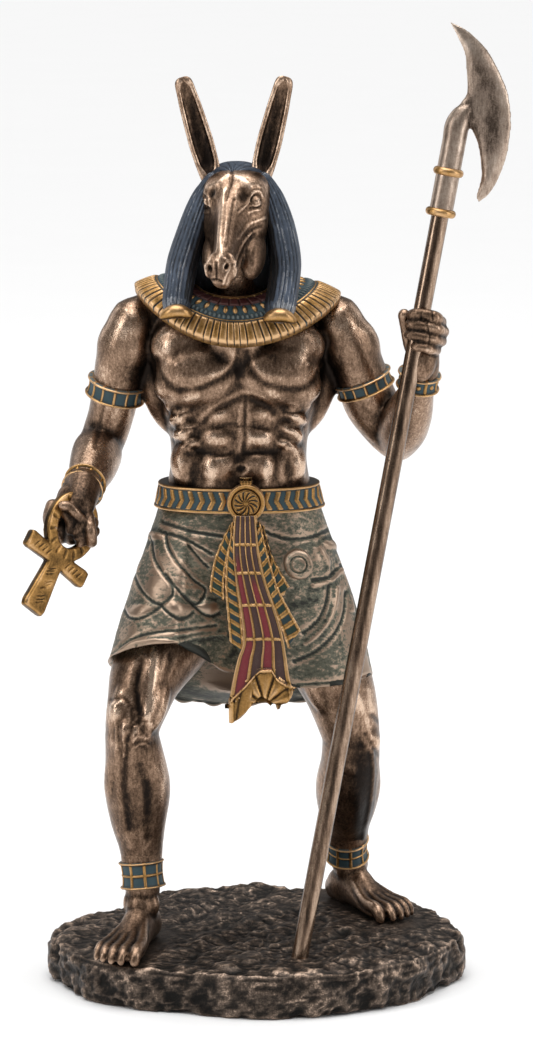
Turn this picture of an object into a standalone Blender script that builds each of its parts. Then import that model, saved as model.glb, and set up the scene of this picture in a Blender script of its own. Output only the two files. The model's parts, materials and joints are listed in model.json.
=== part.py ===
"""Standing figure of Seth in cold-cast bronze: an animal-headed man in a kilt on a rough rock base.

He holds an ankh in his right hand and a battle axe on a long shaft in his left.
Pieces: figure, rock_base, staff_shaft, axe_head and ankh. Metres, +Z up. The origin is the middle of
the base's underside, the figure faces -Y, and +X is on his left.
"""

import math

import bmesh
import bpy
from mathutils import Matrix, Vector

# Driving sizes, in metres
FIGURE_HEIGHT = 0.234          # soles to the crown of the wig, without the ears
BASE_WIDTH = 0.128
BASE_DEPTH = 0.108
BASE_THICKNESS = 0.013
SHAFT_DIAMETER = 0.0052
SHAFT_SEAT_DEPTH = 0.005       # how deep the shaft stands in the base
SHAFT_LENGTH = 0.2355          # from the base's top to the shaft's top end
SOCKET_DIAMETER = 0.0070       # the axe head's socket
SOCKET_DEPTH = 0.012           # how much of the shaft the socket takes
BLADE_THICKNESS = 0.0036
RING_WIDTH = 0.0011            # how far the socket's two rings stand out
ANKH_FOOT = 0.0182             # crossing to the end of the long arm
ANKH_ARM = 0.0131              # crossing to the end of a side arm
ANKH_LOOP_LENGTH = 0.0180      # middle of the loop's bar, along the ankh
ANKH_LOOP_WIDTH = 0.0158       # and across it
ANKH_BAR = 0.0040              # width of the loop's bar
ANKH_THICKNESS = 0.0028
SEAT_GAP = 0.0003              # air between pieces that touch

# Detail of the modelled figure
CLAY_GRAIN = 0.0010            # edge of the cells that the figure's clay is merged on
CLAY_SMOOTHING = 3             # rounds of smoothing after the merge
FIGURE_TRIANGLES_SHARE = 0.0370 # share of the merged faces that is kept

# The pose and the carving keep their shares of the figure's height: MM is 1 mm on a 234 mm figure.
MM = FIGURE_HEIGHT / 234
SHAFT_RADIUS = SHAFT_DIAMETER / 2
UP = Vector((0, 0, 1))
BACK = Vector((0, 1, 0))

MATERIALS = {
    "bronze": ((0.34, 0.24, 0.17), 0.38, 0.85),
    "dark_bronze": ((0.13, 0.10, 0.08), 0.55, 0.70),
    "shaft_bronze": ((0.40, 0.30, 0.23), 0.32, 0.90),
    "axe_bronze": ((0.33, 0.27, 0.22), 0.40, 0.85),
    "gold": ((0.62, 0.42, 0.16), 0.36, 0.85),
}


def spot(x, y, z):
    """A place on the figure, in millimetres of its own height above the soles, as a point in metres."""
    return Vector((x, y, z)) * MM + UP * (BASE_THICKNESS + SEAT_GAP)


def clear_scene():
    for item in list(bpy.data.objects):
        bpy.data.objects.remove(item)


def material(name):
    found = bpy.data.materials.get(name)
    if found:
        return found
    colour, roughness, metallic = MATERIALS[name]
    made = bpy.data.materials.new(name)
    made.use_nodes = True
    shader = made.node_tree.nodes["Principled BSDF"]
    shader.inputs["Base Color"].default_value = (*colour, 1)
    shader.inputs["Roughness"].default_value = roughness
    shader.inputs["Metallic"].default_value = metallic
    return made


def solid(name, clay, finish):
    """Turns a bmesh into a named object with its material."""
    mesh = bpy.data.meshes.new(name)
    bmesh.ops.recalc_face_normals(clay, faces=clay.faces)
    clay.to_mesh(mesh)
    clay.free()
    made = bpy.data.objects.new(name, mesh)
    bpy.context.scene.collection.objects.link(made)
    made.data.materials.append(material(finish))
    return made


def hide(cutter):
    cutter.hide_render = True
    cutter.display_type = "WIRE"
    return cutter


def cut(target, cutter):
    """Cuts a hidden helper out of a piece."""
    step = target.modifiers.new("cut_" + cutter.name, "BOOLEAN")
    step.operation = "DIFFERENCE"
    step.solver = "EXACT"
    step.object = hide(cutter)


def add(target, extra):
    """Joins a hidden helper to a piece."""
    step = target.modifiers.new("join_" + extra.name, "BOOLEAN")
    step.operation = "UNION"
    step.solver = "EXACT"
    step.object = hide(extra)


# Shapes in clay: each adds one closed shell, and the merge joins what overlaps


def skin(clay, rings):
    """Closes a stack of equal rings of points into a shell."""
    loops = [[clay.verts.new(point) for point in ring] for ring in rings]
    count = len(loops[0])
    faces = [clay.faces.new(loops[0][::-1]), clay.faces.new(loops[-1])]
    for low, high in zip(loops, loops[1:]):
        for i in range(count):
            j = (i + 1) % count
            faces.append(clay.faces.new((low[i], low[j], high[j], high[i])))
    bmesh.ops.recalc_face_normals(clay, faces=faces)


def between(stations, share):
    """A station on the smooth curve through the given ones, share running from 0 to 1."""
    last = len(stations) - 1
    place = min(share * last, last - 1e-9)
    i = int(place)
    t = place - i
    a, b, c, d = (stations[max(0, min(last, i + k))] for k in (-1, 0, 1, 2))
    return [
        0.5 * (2 * q + (r - p) * t + (2 * p - 5 * q + 4 * r - s) * t ** 2 + (3 * q - p - 3 * r + s) * t ** 3)
        for p, q, r, s in zip(a, b, c, d)
    ]


def column(clay, stations, sides=40, steps=4, square=2.3):
    """Stacks level rounded sections. A station is z, centre x, centre y, half width, half depth, in mm."""
    rings = []
    count = (len(stations) - 1) * steps
    for k in range(count + 1):
        z, x, y, wide, deep = between(stations, k / count)
        ring = []
        for i in range(sides):
            angle = math.tau * i / sides
            c, s = math.cos(angle), math.sin(angle)
            across = math.copysign(abs(c) ** (2 / square), c)
            along = math.copysign(abs(s) ** (2 / square), s)
            ring.append(spot(x + wide * across, y + deep * along, z))
        rings.append(ring)
    skin(clay, rings)


def limb(clay, stations, reference=BACK, sides=20, steps=3):
    """A bent tube with round ends. A station is x, y, z, half width, half depth, in mm."""
    count = (len(stations) - 1) * steps
    path = [between(stations, k / count) for k in range(count + 1)]
    rings = []
    for k, (x, y, z, wide, deep) in enumerate(path):
        before, after = path[max(0, k - 1)], path[min(count, k + 1)]
        along = (Vector(after[:3]) - Vector(before[:3])).normalized()
        side = along.cross(reference).normalized()
        front = side.cross(along)
        shares = [(0, 1)]
        if k == 0:
            shares = [(-0.9, 0.4), (-0.5, 0.85), (0, 1)]
        elif k == count:
            shares = [(0, 1), (0.5, 0.85), (0.9, 0.4)]
        for ahead, narrow in shares:
            middle = Vector((x, y, z)) + along * ahead * min(wide, deep)
            rings.append([
                spot(*(middle + side * wide * narrow * math.cos(math.tau * i / sides)
                       + front * deep * narrow * math.sin(math.tau * i / sides)))
                for i in range(sides)
            ])
    skin(clay, rings)


def ball(clay, centre, radii, aim=(0, 0, 1), turn=0.0):
    """An ellipsoid whose third radius lies along aim, in mm. Turn rolls it about aim, in degrees."""
    tilt = Vector(aim).to_track_quat("Z", "Y").to_matrix().to_4x4()
    roll = Matrix.Rotation(math.radians(turn), 4, "Z")
    size = Matrix.Diagonal((*[r * MM for r in radii], 1))
    place = Matrix.Translation(spot(*centre)) @ tilt @ roll @ size
    bmesh.ops.create_icosphere(clay, subdivisions=3, radius=1, matrix=place)


# The body


RIGHT_SHOULDER = Vector((-37, 6, 184))
RIGHT_ELBOW = Vector((-45.8, 14, 147))
RIGHT_WRIST = Vector((-49.9, -13, 138.4))
RIGHT_FIST = Vector((-53.4, -19, 131.4))
LEFT_SHOULDER = Vector((27, 6, 185))
LEFT_ELBOW = Vector((44.3, 10, 149))
LEFT_WRIST = Vector((49.5, -13, 169.5))
SHAFT_FOOT = Vector((14, -32.4, 0))
GRIP = Vector((47.8, -19, 181))
SHAFT_LINE = (GRIP - SHAFT_FOOT).normalized()


def torso(clay):
    column(clay, [
        (96, -3, 5, 14, 10), (104, -3, 6, 22, 14.5), (118, -3.5, 6, 24.2, 15.5),
        (130, -3.8, 5, 22.8, 13.8), (137, -4, 5, 21.2, 12.8), (145, -4, 5, 20.2, 12.2),
        (154, -4, 5, 21.2, 13.4), (161, -4, 5.3, 23.4, 14.6), (170, -4.2, 5.6, 25.6, 15.4),
        (179, -4.8, 6, 26.6, 15), (186, -5, 6.5, 24.5, 13), (191, -5, 7, 19, 11), (196, -5, 7, 11, 9),
    ])
    for side in (-1, 1):
        middle = -4.2
        ball(clay, (middle + side * 11.8, -5.6, 171), (13.2, 6.6, 10.6), turn=side * 8)
        ball(clay, (middle + side * 16.5, -3.5, 166.5), (8.5, 6.5, 7))
        ball(clay, (middle + side * 20.2, 7, 165), (5.6, 9, 16), aim=(side * 0.30, 0, 1))
        ball(clay, (middle + side * 11, 14, 172), (11, 6, 16), aim=(side * 0.2, 0, 1))
        ball(clay, (middle + side * 13, 17, 180), (9, 4, 8))
        ball(clay, (middle + side * 6.5, 15.5, 146), (5, 4.5, 16))
        ball(clay, (middle + side * 14.6, -1.5, 142.5), (5.4, 7.6, 7.5), aim=(side * 0.3, 0, 1))
        for row, (drop, wide, tall) in enumerate([(159.8, 5.4, 4.1), (152.2, 5.4, 4.2), (143, 5.6, 6.2)]):
            ball(clay, (middle + side * 5.4, -6.9 - 0.2 * row, drop), (wide, 3.1, tall))
        for row in range(3):
            ball(clay, (middle + side * (17.2 - row * 1.1), -3.6, 162.0 - row * 5.2),
                 (4.8, 5, 2.6), aim=(side * 0.5, 0.4, 1))
        limb(clay, [(-5, 6, 199, 6, 6), (middle + side * 16, 8, 191, 6.5, 6), (middle + side * 29, 7, 185.5, 5.5, 6.5)])
    limb(clay, [(-5, 7, 188, 10, 9), (-5.2, 3, 199, 8, 8), (-5.5, -1, 211, 8.5, 9)])
    ball(clay, (-5.4, -5.5, 191), (9.5, 7, 5))
    ball(clay, (-4.8, -6.5, 180), (9, 5.5, 7))


RIGHT_UPPER_ARM = [
    (-35.5, 6, 185, 7.2, 8.4), (-38, 7, 176.5, 8.0, 9.2), (-40.2, 8.8, 166, 7.5, 8.4),
    (-42.1, 10.6, 157, 6.9, 7.6), (-44.2, 12.6, 150, 6.9, 6.9), (-45.9, 13.8, 146, 6.4, 6.4),
]
RIGHT_FOREARM = [
    (-45.9, 13.8, 146, 6.4, 6.6), (-46.5, 7, 144.6, 8.2, 7.6), (-47.6, -1, 142, 7.8, 7.0),
    (-49.2, -8.5, 139.2, 6.2, 5.8), (-50.6, -14.5, 136.4, 5.6, 5.0),
]
LEFT_UPPER_ARM = [
    (25.6, 6, 185.5, 7.2, 8.4), (29.2, 6.5, 177, 7.8, 9.2), (32.8, 8, 167.5, 8.0, 8.6),
    (35.4, 9, 160.3, 8.2, 8.0), (39.8, 10, 153, 7.4, 7.0), (43.4, 10, 148.4, 6.5, 6.5),
]
LEFT_FOREARM = [
    (43.4, 10, 148.4, 6.5, 6.6), (44.8, 4.5, 153, 7.7, 7.6), (46.6, -2, 158.5, 7.2, 7.0),
    (48.2, -8.5, 164.5, 5.6, 5.6), (49.4, -13.5, 169.5, 4.9, 4.7),
]


def arm(clay, upper, fore, outside):
    """An arm in two tubes, with its deltoid, biceps, triceps and the forearm's swell. Outside is -1 or +1."""
    limb(clay, upper)
    limb(clay, fore, reference=Vector((1, 0, 0)))
    shoulder, low = Vector(upper[1][:3]), Vector(upper[4][:3])
    line = low - shoulder
    ball(clay, shoulder + Vector((outside * 0.4, -1.5, 0.5)), (7.2, 8.6, 10.5), aim=line)
    ball(clay, shoulder + line * 0.58 + Vector((-outside * 0.8, -3.6, 0)), (5.2, 4.8, 10.5), aim=line)
    ball(clay, shoulder + line * 0.5 + Vector((outside * 0.8, 3.8, 0)), (5.6, 5.2, 12), aim=line)
    wrist_way = Vector(fore[3][:3]) - Vector(fore[0][:3])
    ball(clay, Vector(fore[1][:3]) + Vector((outside * 1.2, 0, 1.6)) + wrist_way * 0.08, (5.4, 5.0, 10), aim=wrist_way)


def leg(clay, thigh, shin, front):
    """A leg from two chains of stations, with the muscles of the thigh, the kneecap and the calf."""
    limb(clay, thigh, sides=24)
    limb(clay, shin, sides=24)
    knee, calf = Vector(thigh[-1][:3]), Vector(shin[2][:3])
    mid = Vector(thigh[-3][:3])
    line = knee - mid
    ball(clay, mid + line * 0.45 + front * 6.5 + Vector((4.2, 0, 0)), (4.2, 4.4, 10), aim=line)
    ball(clay, mid + line * 0.3 + front * 6.5 - Vector((4.2, 0, 0)), (4.4, 4.4, 11), aim=line)
    ball(clay, knee + front * 5.8 + Vector((0, 0, 1)), (3.9, 3.4, 4.8))
    ball(clay, knee + front * 5.2 - Vector((0, 0, 7)), (2.6, 2.6, 4.5))
    ball(clay, calf - front * 3.8 + Vector((3.4, 0, 3)), (5.0, 5.6, 11))
    ball(clay, calf - front * 3.8 + Vector((-3.4, 0, 4)), (5.0, 5.4, 10))


RIGHT_THIGH = [
    (-15, 5, 104, 12.4, 14), (-22.5, -2, 93, 12.8, 13.4), (-30.8, -10, 82, 11.2, 12),
    (-33.8, -15, 73.5, 9.4, 10.2), (-36, -18.5, 65.5, 7.8, 8.6),
]
RIGHT_SHIN = [
    (-36, -18.5, 65.5, 7.8, 8.6), (-34.8, -17, 56, 9.0, 9.0), (-34.2, -15, 47, 9.9, 9.6),
    (-34, -13.5, 37.5, 8.5, 8.6), (-33.2, -13, 27.5, 6.4, 6.6), (-32.8, -14.5, 15, 5.1, 5.8),
]
LEFT_THIGH = [
    (9, 7, 104, 12.6, 14), (14.5, 7.5, 95, 13, 13.2), (20.7, 8, 84, 12.2, 12.6),
    (26.2, 8.5, 72.5, 10.8, 11.4), (30, 9, 58, 8.8, 9.2),
]
LEFT_SHIN = [
    (30, 9, 58, 8.8, 9.2), (29.7, 12, 49.5, 8.9, 9.4), (29.2, 16.5, 41.5, 9.9, 9.8),
    (28.9, 21, 34, 9.1, 9.0), (28.9, 27, 25, 6.9, 7.0), (29.2, 31.5, 13, 5.2, 5.8),
]
LEG_FRONT = Vector((0, -1, 0))


def foot(clay, heel, toe, inner):
    """A foot flat on the ground, from the heel's back to the big toe's tip. Inner is +1 or -1: where the big toe is."""
    ahead = (toe - heel).normalized()
    length = (toe - heel).length
    side = ahead.cross(UP).normalized() * inner
    profile = [
        (0.06, 3.0, 3.4, 4.2), (0.18, 5.0, 4.7, 6.0), (0.34, 6.2, 4.8, 7.2), (0.50, 4.8, 5.5, 5.6),
        (0.66, 3.8, 6.2, 4.5), (0.80, 2.8, 6.6, 3.5),
    ]
    stations = []
    for share, height, wide, tall in profile:
        middle = heel + ahead * share * length + UP * height
        stations.append((*middle, wide, tall))
    limb(clay, stations, reference=UP)
    for k in range(5):
        across = 5.2 - 2.65 * k
        reach = 1.0 - 0.045 * k * (1 + 0.25 * k)
        thick = 2.3 if k == 0 else 1.65 - 0.08 * k
        root = heel + ahead * length * 0.72 + side * across * 0.9 + UP * 3.4
        knuckle = heel + ahead * length * (reach - 0.1) + side * across * 1.08 + UP * 3.0
        tip = heel + ahead * length * reach + side * across * 1.12 + UP * 1.2
        limb(clay, [(*root, thick, thick), (*knuckle, thick * 1.08, thick), (*tip, thick, thick * 0.9)],
             reference=UP, sides=12)
    ankle = heel + ahead * length * 0.30
    for way in (-1, 1):
        ball(clay, ankle + side * way * 4.6 + UP * 13.5, (2.2, 2.8, 3.2))


def left_fist(clay):
    """The hand round the shaft: four fingers across the front, the palm outside, the thumb up the inside."""
    out = Vector((1, 0, 0))
    out = (out - SHAFT_LINE * out.dot(SHAFT_LINE)).normalized()
    front = SHAFT_LINE.cross(out).normalized()
    if front.y > 0:
        front = -front
    reach = SHAFT_RADIUS / MM + 1.7
    for k in range(4):
        thick = 1.95 - 0.12 * k
        level = GRIP + SHAFT_LINE * (5.4 - 3.35 * k)
        stations = []
        for angle, far in ((-60, 1.3), (-20, 1.4), (22, 1.35), (65, 1.1), (110, 1.0), (155, 0.98), (190, 0.95)):
            turn = math.radians(angle)
            place = level + (out * math.cos(turn) + front * math.sin(turn)) * reach * far
            stations.append((*place, thick, thick))
        limb(clay, stations, reference=SHAFT_LINE, sides=12, steps=2)
    ball(clay, GRIP + out * 4.4 - front * 1.4 - SHAFT_LINE * 1.2, (3.4, 4.2, 8.0), aim=SHAFT_LINE)
    ball(clay, GRIP - front * 5.0 + out * 0.6 - SHAFT_LINE * 3.5, (3.8, 4.2, 7.0), aim=SHAFT_LINE)
    thumb = [(-3.2, -5.5, -0.5), (-3.9, -3.4, 3.0), (-4.3, -1.6, 6.5), (-4.5, -0.4, 9.4)]
    limb(clay, [(*(GRIP + out * a + front * b + SHAFT_LINE * c), 2.0, 2.0) for a, b, c in thumb], sides=12)
    wrist_to_palm = GRIP - LEFT_WRIST
    limb(clay, [(*LEFT_WRIST, 4.8, 4.4), (*(LEFT_WRIST + wrist_to_palm * 0.55 + out * 1.5), 5.4, 4.4),
                (*(GRIP + out * 3.6 - front * 3.0), 5.0, 4.4)])


ANKH_RISE = Vector((0.393, 0.490, 0.778)).normalized()


def ankh_axes():
    """The ankh's crossing, and its three directions: towards the loop, along the side arms, and its thickness."""
    rise = ANKH_RISE
    arm = Vector((0.617, 0.489, -0.617))
    arm = (arm - rise * arm.dot(rise)).normalized()
    loop_middle = spot(-52.8, -22.4, 128.1)
    return loop_middle - rise * (ANKH_LOOP_LENGTH / 2 + ANKH_BAR * 0.6), rise, arm, rise.cross(arm)


def right_fist(clay):
    """The hand closed on the ankh's loop, with the knuckles forward."""
    rise = ANKH_RISE
    ball(clay, RIGHT_FIST + Vector((0.6, 1.2, 1.6)), (5.0, 5.6, 7.4), aim=(0.15, -0.35, -1))
    limb(clay, [(*RIGHT_WRIST, 4.9, 4.5), (*(RIGHT_WRIST + (RIGHT_FIST - RIGHT_WRIST) * 0.6), 5.2, 4.6),
                (*RIGHT_FIST, 5.0, 4.6)])
    for k in range(4):
        slide = Vector((3.9, -1.4, -0.2)) * (1.1 - k * 0.78)
        start = RIGHT_FIST + slide + Vector((1.2, -2.6, 0.0))
        stations = []
        for ahead, down in ((0.0, 0.0), (3.2, -3.6), (1.6, -7.2), (-3.0, -7.6), (-5.2, -4.6)):
            place = start + Vector((0.1, -1, 0)) * ahead + Vector((-0.1, 0, 1)) * down
            stations.append((*place, 1.75, 1.75))
        limb(clay, stations, reference=slide.normalized(), sides=12, steps=2)
    thumb = [RIGHT_FIST + Vector((-5.4, 2, 2)), RIGHT_FIST + Vector((-6.2, -2.6, -1)),
             RIGHT_FIST + rise * -4 + Vector((-3.4, -6.0, 0))]
    limb(clay, [(*place, 2.0, 1.9) for place in thumb], sides=12)


# The head, wig and dress


TURN = math.radians(12)        # how far the head looks to his right
NOD = math.radians(53)         # how far the muzzle points below level
LEVEL = Vector((-math.sin(TURN), -math.cos(TURN), 0))
MUZZLE = LEVEL * math.cos(NOD) - UP * math.sin(NOD)
BRIDGE = LEVEL * math.sin(NOD) + UP * math.cos(NOD)
CHEEK = Vector((math.cos(TURN), -math.sin(TURN), 0))
BROW = Vector((-5.8, -12, 229.5))


def on_head(along, across, out):
    """A place by its distance down the muzzle, to the side and out from the bridge of the nose, in mm."""
    return BROW + MUZZLE * along + CHEEK * across + BRIDGE * out


def head(clay):
    """A long head like an ass's: brow, cheeks, narrow muzzle with nostrils, and chin."""
    sections = [
        (-4.5, -10.8, 8.0, 7.6), (-1, -10.2, 9.2, 9.3), (3, -10, 9.8, 9.9), (8, -9.8, 9.3, 10.0), (13, -9.0, 7.6, 9.2),
        (18, -7.6, 5.3, 7.8), (23, -6.1, 4.0, 6.1), (27.5, -5.3, 3.9, 5.1), (30.5, -5.5, 3.1, 3.9),
    ]
    limb(clay, [(*on_head(along, 0, out), wide, deep) for along, out, wide, deep in sections],
         reference=BRIDGE, sides=24)
    for side in (-1, 1):
        ball(clay, on_head(0.6, side * 6.6, -2.9), (2.4, 1.5, 1.9), aim=MUZZLE)
        ball(clay, on_head(5.2, side * 7.3, -4.2), (1.9, 1.8, 2.1), aim=MUZZLE)
        ball(clay, on_head(17.5, side * 5.6 + 0.5, -13.6), (4.0, 5.5, 8.0), aim=MUZZLE)
        ball(clay, on_head(28.2, side * 3.2, -2.7), (1.5, 1.8, 2.6), aim=MUZZLE)
        limb(clay, [(*on_head(10, side * 6.2, -4.6), 1.3, 1.3), (*on_head(18, side * 4.0, -3.4), 0.9, 0.9)],
             sides=12)
    limb(clay, [(*on_head(0, 0, -1.5), 3.2, 1.8), (*on_head(14, 0, -1.0), 1.8, 1.4), (*on_head(27, 0, -1.3), 2.0, 1.4)],
         reference=BRIDGE, sides=12)
    ball(clay, on_head(29.6, 0, -8.6), (2.4, 1.9, 2.6), aim=MUZZLE)
    limb(clay, [(*on_head(15, 0, -15.5), 4.8, 4.6), (*on_head(22.5, 0, -11.6), 3.4, 3.2), (*on_head(28.5, 0, -9), 2.4, 2.2)],
         reference=BRIDGE, sides=16)


EAR_ROOTS = {"right": ((-11.6, -2.5, 227.5), (-20.6, 0, 258.0)), "left": ((2.2, -2.5, 227.5), (9.9, 0, 258.2))}
EAR_WALL = 1.3


def ear(name):
    """A tall ear with a square tip and a channel down its front, as its own shell."""
    root, tip = (Vector(place) for place in EAR_ROOTS[name])
    line = tip - root
    along = line.normalized()
    side = along.cross(BACK).normalized()
    back = side.cross(along)
    if back.y < 0:
        back = -back
    clay = bmesh.new()
    rings = []
    half_arc = 7
    for share, wide, hollow in ((0, 2.9, 0.15), (0.12, 3.3, 0.8), (0.4, 3.7, 1), (0.7, 3.3, 1), (0.9, 2.8, 0.9),
                                (0.97, 2.5, 0.2), (1.0, 1.9, 0.1)):
        middle = root + line * share
        ring = []
        for k in range(half_arc + 1):
            turn = math.pi * k / half_arc
            ring.append(middle + side * wide * math.cos(turn) + back * wide * 0.72 * math.sin(turn))
        inner = max(wide - EAR_WALL, 0.4)
        for k in range(half_arc + 1):
            turn = math.pi * (1 - k / half_arc)
            deep = (inner * 0.72 * math.sin(turn)) * hollow - 0.35 * (1 - hollow)
            ring.append(middle + side * inner * math.cos(turn) + back * deep)
        rings.append([spot(*point) for point in ring])
    skin(clay, rings)
    return solid("ear_" + name, clay, "bronze")


def wig(clay):
    """The wig: a bell over the head and back, and the two lappets that come forward onto the collar."""
    column(clay, [
        (232.6, -4.4, 4, 2.5, 3), (231, -4.3, 4, 6.5, 7), (226.5, -4, 4, 11.2, 11), (222.5, -4.2, 4.5, 13.2, 12.2),
        (215.5, -4.6, 5, 16.0, 12.6), (207, -5, 6, 18.0, 12.6), (199, -5.4, 8, 19.4, 11.8), (190, -5, 11, 16.5, 8.5),
        (183, -5, 14.5, 14, 6),
    ], square=2.0)
    lappets = (
        [(-14.0, -4, 223, 3.6, 3.4), (-17.6, -8, 213, 4.4, 3.6), (-20.6, -10.5, 203, 4.6, 3.2), (-22.2, -15, 192.5, 4.2, 2.2)],
        [(5.8, -5, 223, 3.6, 3.4), (8.6, -8.5, 213, 4.4, 3.6), (9.8, -11.5, 203, 4.6, 3.2), (8.2, -16.2, 191.5, 4.6, 2.2)],
    )
    for stations in lappets:
        limb(clay, stations, sides=16)
        x, y, z = stations[-1][:3]
        ball(clay, (x, y - 0.8, z - 3.2), (4.8, 2.2, 2.3))


def collar(clay):
    """The broad collar: a dished ring from the neck over chest, shoulders and back."""
    sides = 40
    thick = 1.6
    rings = []
    for i in range(sides):
        turn = math.tau * i / sides
        c, s = math.cos(turn), math.sin(turn)
        rise = 13.0 if s < 0 else 10.4
        outer = Vector((-4.2 + 31.0 * s, 3.5 - 18.6 * c, 181.5 + rise * s * s + 1.5 * (1 - c)))
        inner = Vector((-5.4 + 11.0 * s, 3.5 - 11.5 * c, 196.5 - 3.0 * c))
        middle = (outer + inner) / 2 + Vector((0, -1.6 * c, 2.2))
        drop = UP * thick
        rings.append([spot(*point) for point in (
            outer, middle, inner, inner - drop * 3, middle - drop * 3, outer - drop)])
    loops = [[clay.verts.new(point) for point in ring] for ring in rings]
    faces = []
    for a, b in zip(loops, loops[1:] + loops[:1]):
        for i in range(len(a)):
            j = (i + 1) % len(a)
            faces.append(clay.faces.new((a[i], a[j], b[j], b[i])))
    bmesh.ops.recalc_face_normals(clay, faces=faces)


HEM = [
    (-43, -8, 84), (-38.5, -22, 90.5), (-25, -26.5, 94), (-18, -23, 90.5), (-5, -17.5, 82), (12, -12, 77.3),
    (27, -6, 76.9), (36.2, 7, 77.0), (31, 20, 72), (15.7, 26, 65.0), (-8, 27, 63.5), (-24, 24, 66.0), (-37, 12, 75),
]
KILT_TOP = (130, -3.8, 4.8, 24.0, 14.8)


def around(points, share):
    """A place on the closed smooth curve through the points."""
    count = len(points)
    place = (share % 1) * count
    i = int(place)
    t = place - i
    a, b, c, d = (Vector(points[(i + k) % count]) for k in (-1, 0, 1, 2))
    return 0.5 * (2 * b + (c - a) * t + (2 * a - 5 * b + 4 * c - d) * t ** 2 + (3 * b - a - 3 * c + d) * t ** 3)


def kilt(clay):
    """The wrapped kilt: a skirt from the belt to the uneven hem, hollowed a little underneath."""
    sides, levels = 52, 9
    z, x, y, wide, deep = KILT_TOP
    hem = [around(HEM, i / sides) for i in range(sides)]
    heart = Vector((-4, 4, 0))
    rings = []
    for k in range(levels + 1):
        share = k / levels
        ring = []
        for low in hem:
            turn = math.atan2((low.y - heart.y) / 1.25, low.x - heart.x)
            top = Vector((x + wide * math.cos(turn), y + deep * math.sin(turn), z))
            swell = (low - heart).normalized() * 2.2 * math.sin(math.pi * share)
            swell.z = 0
            ring.append(top.lerp(low, share) + swell)
        rings.append([spot(*point) for point in ring])
    for inset, rise in ((0.80, 3.0), (0.45, 7.0)):
        rings.append([spot(*(heart + UP * low.z + (low - heart - UP * low.z) * inset + UP * rise)) for low in hem])
    skin(clay, rings)


def belt(clay):
    """The belt's two rims and band, and the round clasp in front."""
    column(clay, [(129.8, -3.8, 4.9, 25.0, 15.6), (133.2, -3.9, 4.9, 24.2, 15.0), (136.8, -4, 4.9, 23.2, 14.4)], steps=2)
    ball(clay, (-2.1, -11.4, 133.6), (5.6, 1.9, 5.6))
    ball(clay, (-2.1, -11.0, 139.0), (2.6, 1.4, 1.6))


APRON = [
    (-1.8, -13.6, 128.5, 2.6, 1.4), (-1.2, -18.2, 119, 3.7, 1.5), (1.0, -21.0, 109, 4.9, 1.5),
    (3.4, -23.0, 98, 6.0, 1.6), (4.0, -24.6, 88, 7.4, 1.6), (3.4, -25.4, 79, 8.4, 1.6),
]
APRON_TAIL = [(-0.4, -25.0, 86, 4.2, 1.5), (-3.4, -25.9, 73, 2.8, 1.4)]
SASHES = [
    [(-4.4, -14.0, 126, 1.4, 1.3), (-7.6, -18.0, 117, 3.0, 1.2), (-10.0, -21.0, 109, 3.2, 1.2)],
    [(-3.6, -14.4, 124, 1.2, 1.3), (-5.6, -20.0, 108, 2.4, 1.2), (-4.4, -21.4, 94, 2.0, 1.2)],
    [(0.8, -14.2, 126, 1.4, 1.3), (6.4, -18.0, 116, 2.4, 1.2), (10.6, -20.0, 109, 3.0, 1.2)],
    [(2.0, -15.0, 122, 1.2, 1.3), (8.0, -19.6, 108, 2.6, 1.2), (12.6, -20.4, 96, 3.4, 1.2)],
]


def apron(clay):
    """The long tongue that hangs from the clasp, and two striped sash ends on each side."""
    limb(clay, APRON, sides=16)
    limb(clay, APRON_TAIL, sides=12)
    for stations in SASHES:
        limb(clay, stations, sides=12)


def band(clay, a, b, half_wide, half_deep, reference=BACK):
    """A metal band on a limb, from a to b on its axis, in mm."""
    middle = (a + b) / 2
    limb(clay, [(*a, half_wide, half_deep), (*middle, half_wide * 0.97, half_deep * 0.97),
                (*b, half_wide, half_deep)], reference=reference, steps=2)


def bands(clay):
    """Armbands, bracelets and anklets."""
    for upper, fore in ((RIGHT_UPPER_ARM, RIGHT_FOREARM), (LEFT_UPPER_ARM, LEFT_FOREARM)):
        high, low = Vector(upper[2][:3]), Vector(upper[3][:3])
        band(clay, high.lerp(low, -0.05), high.lerp(low, 0.45), 8.7, 9.6)
        high, low = Vector(fore[3][:3]), Vector(fore[4][:3])
        band(clay, high.lerp(low, 0.1), high.lerp(low, 0.7), 6.5, 6.2, reference=Vector((1, 0, 0)))
    for shin, start, end in ((RIGHT_SHIN, 0.1, 0.85), (LEFT_SHIN, -0.05, 0.6)):
        low, high = Vector(shin[5][:3]), Vector(shin[4][:3])
        band(clay, low.lerp(high, start), low.lerp(high, end), 6.5, 7.3)


# The pieces


def shaft_point(distance):
    """A point on the shaft's line at a distance above the base's top, in metres."""
    foot_point = Vector((SHAFT_FOOT.x * MM, SHAFT_FOOT.y * MM, BASE_THICKNESS))
    return foot_point + shaft_line() * distance


def shaft_line():
    foot_point = Vector((SHAFT_FOOT.x * MM, SHAFT_FOOT.y * MM, BASE_THICKNESS))
    return (spot(*GRIP) - foot_point).normalized()


def rod(name, start, end, radius, finish, sides=24):
    """A plain round bar between two distances on the shaft's line."""
    clay = bmesh.new()
    line = shaft_line()
    turn = line.to_track_quat("Z", "Y").to_matrix().to_4x4()
    place = Matrix.Translation((shaft_point(start) + shaft_point(end)) / 2) @ turn
    bmesh.ops.create_cone(clay, cap_ends=True, segments=sides, radius1=radius, radius2=radius,
                          depth=end - start, matrix=place)
    return solid(name, clay, finish)


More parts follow.
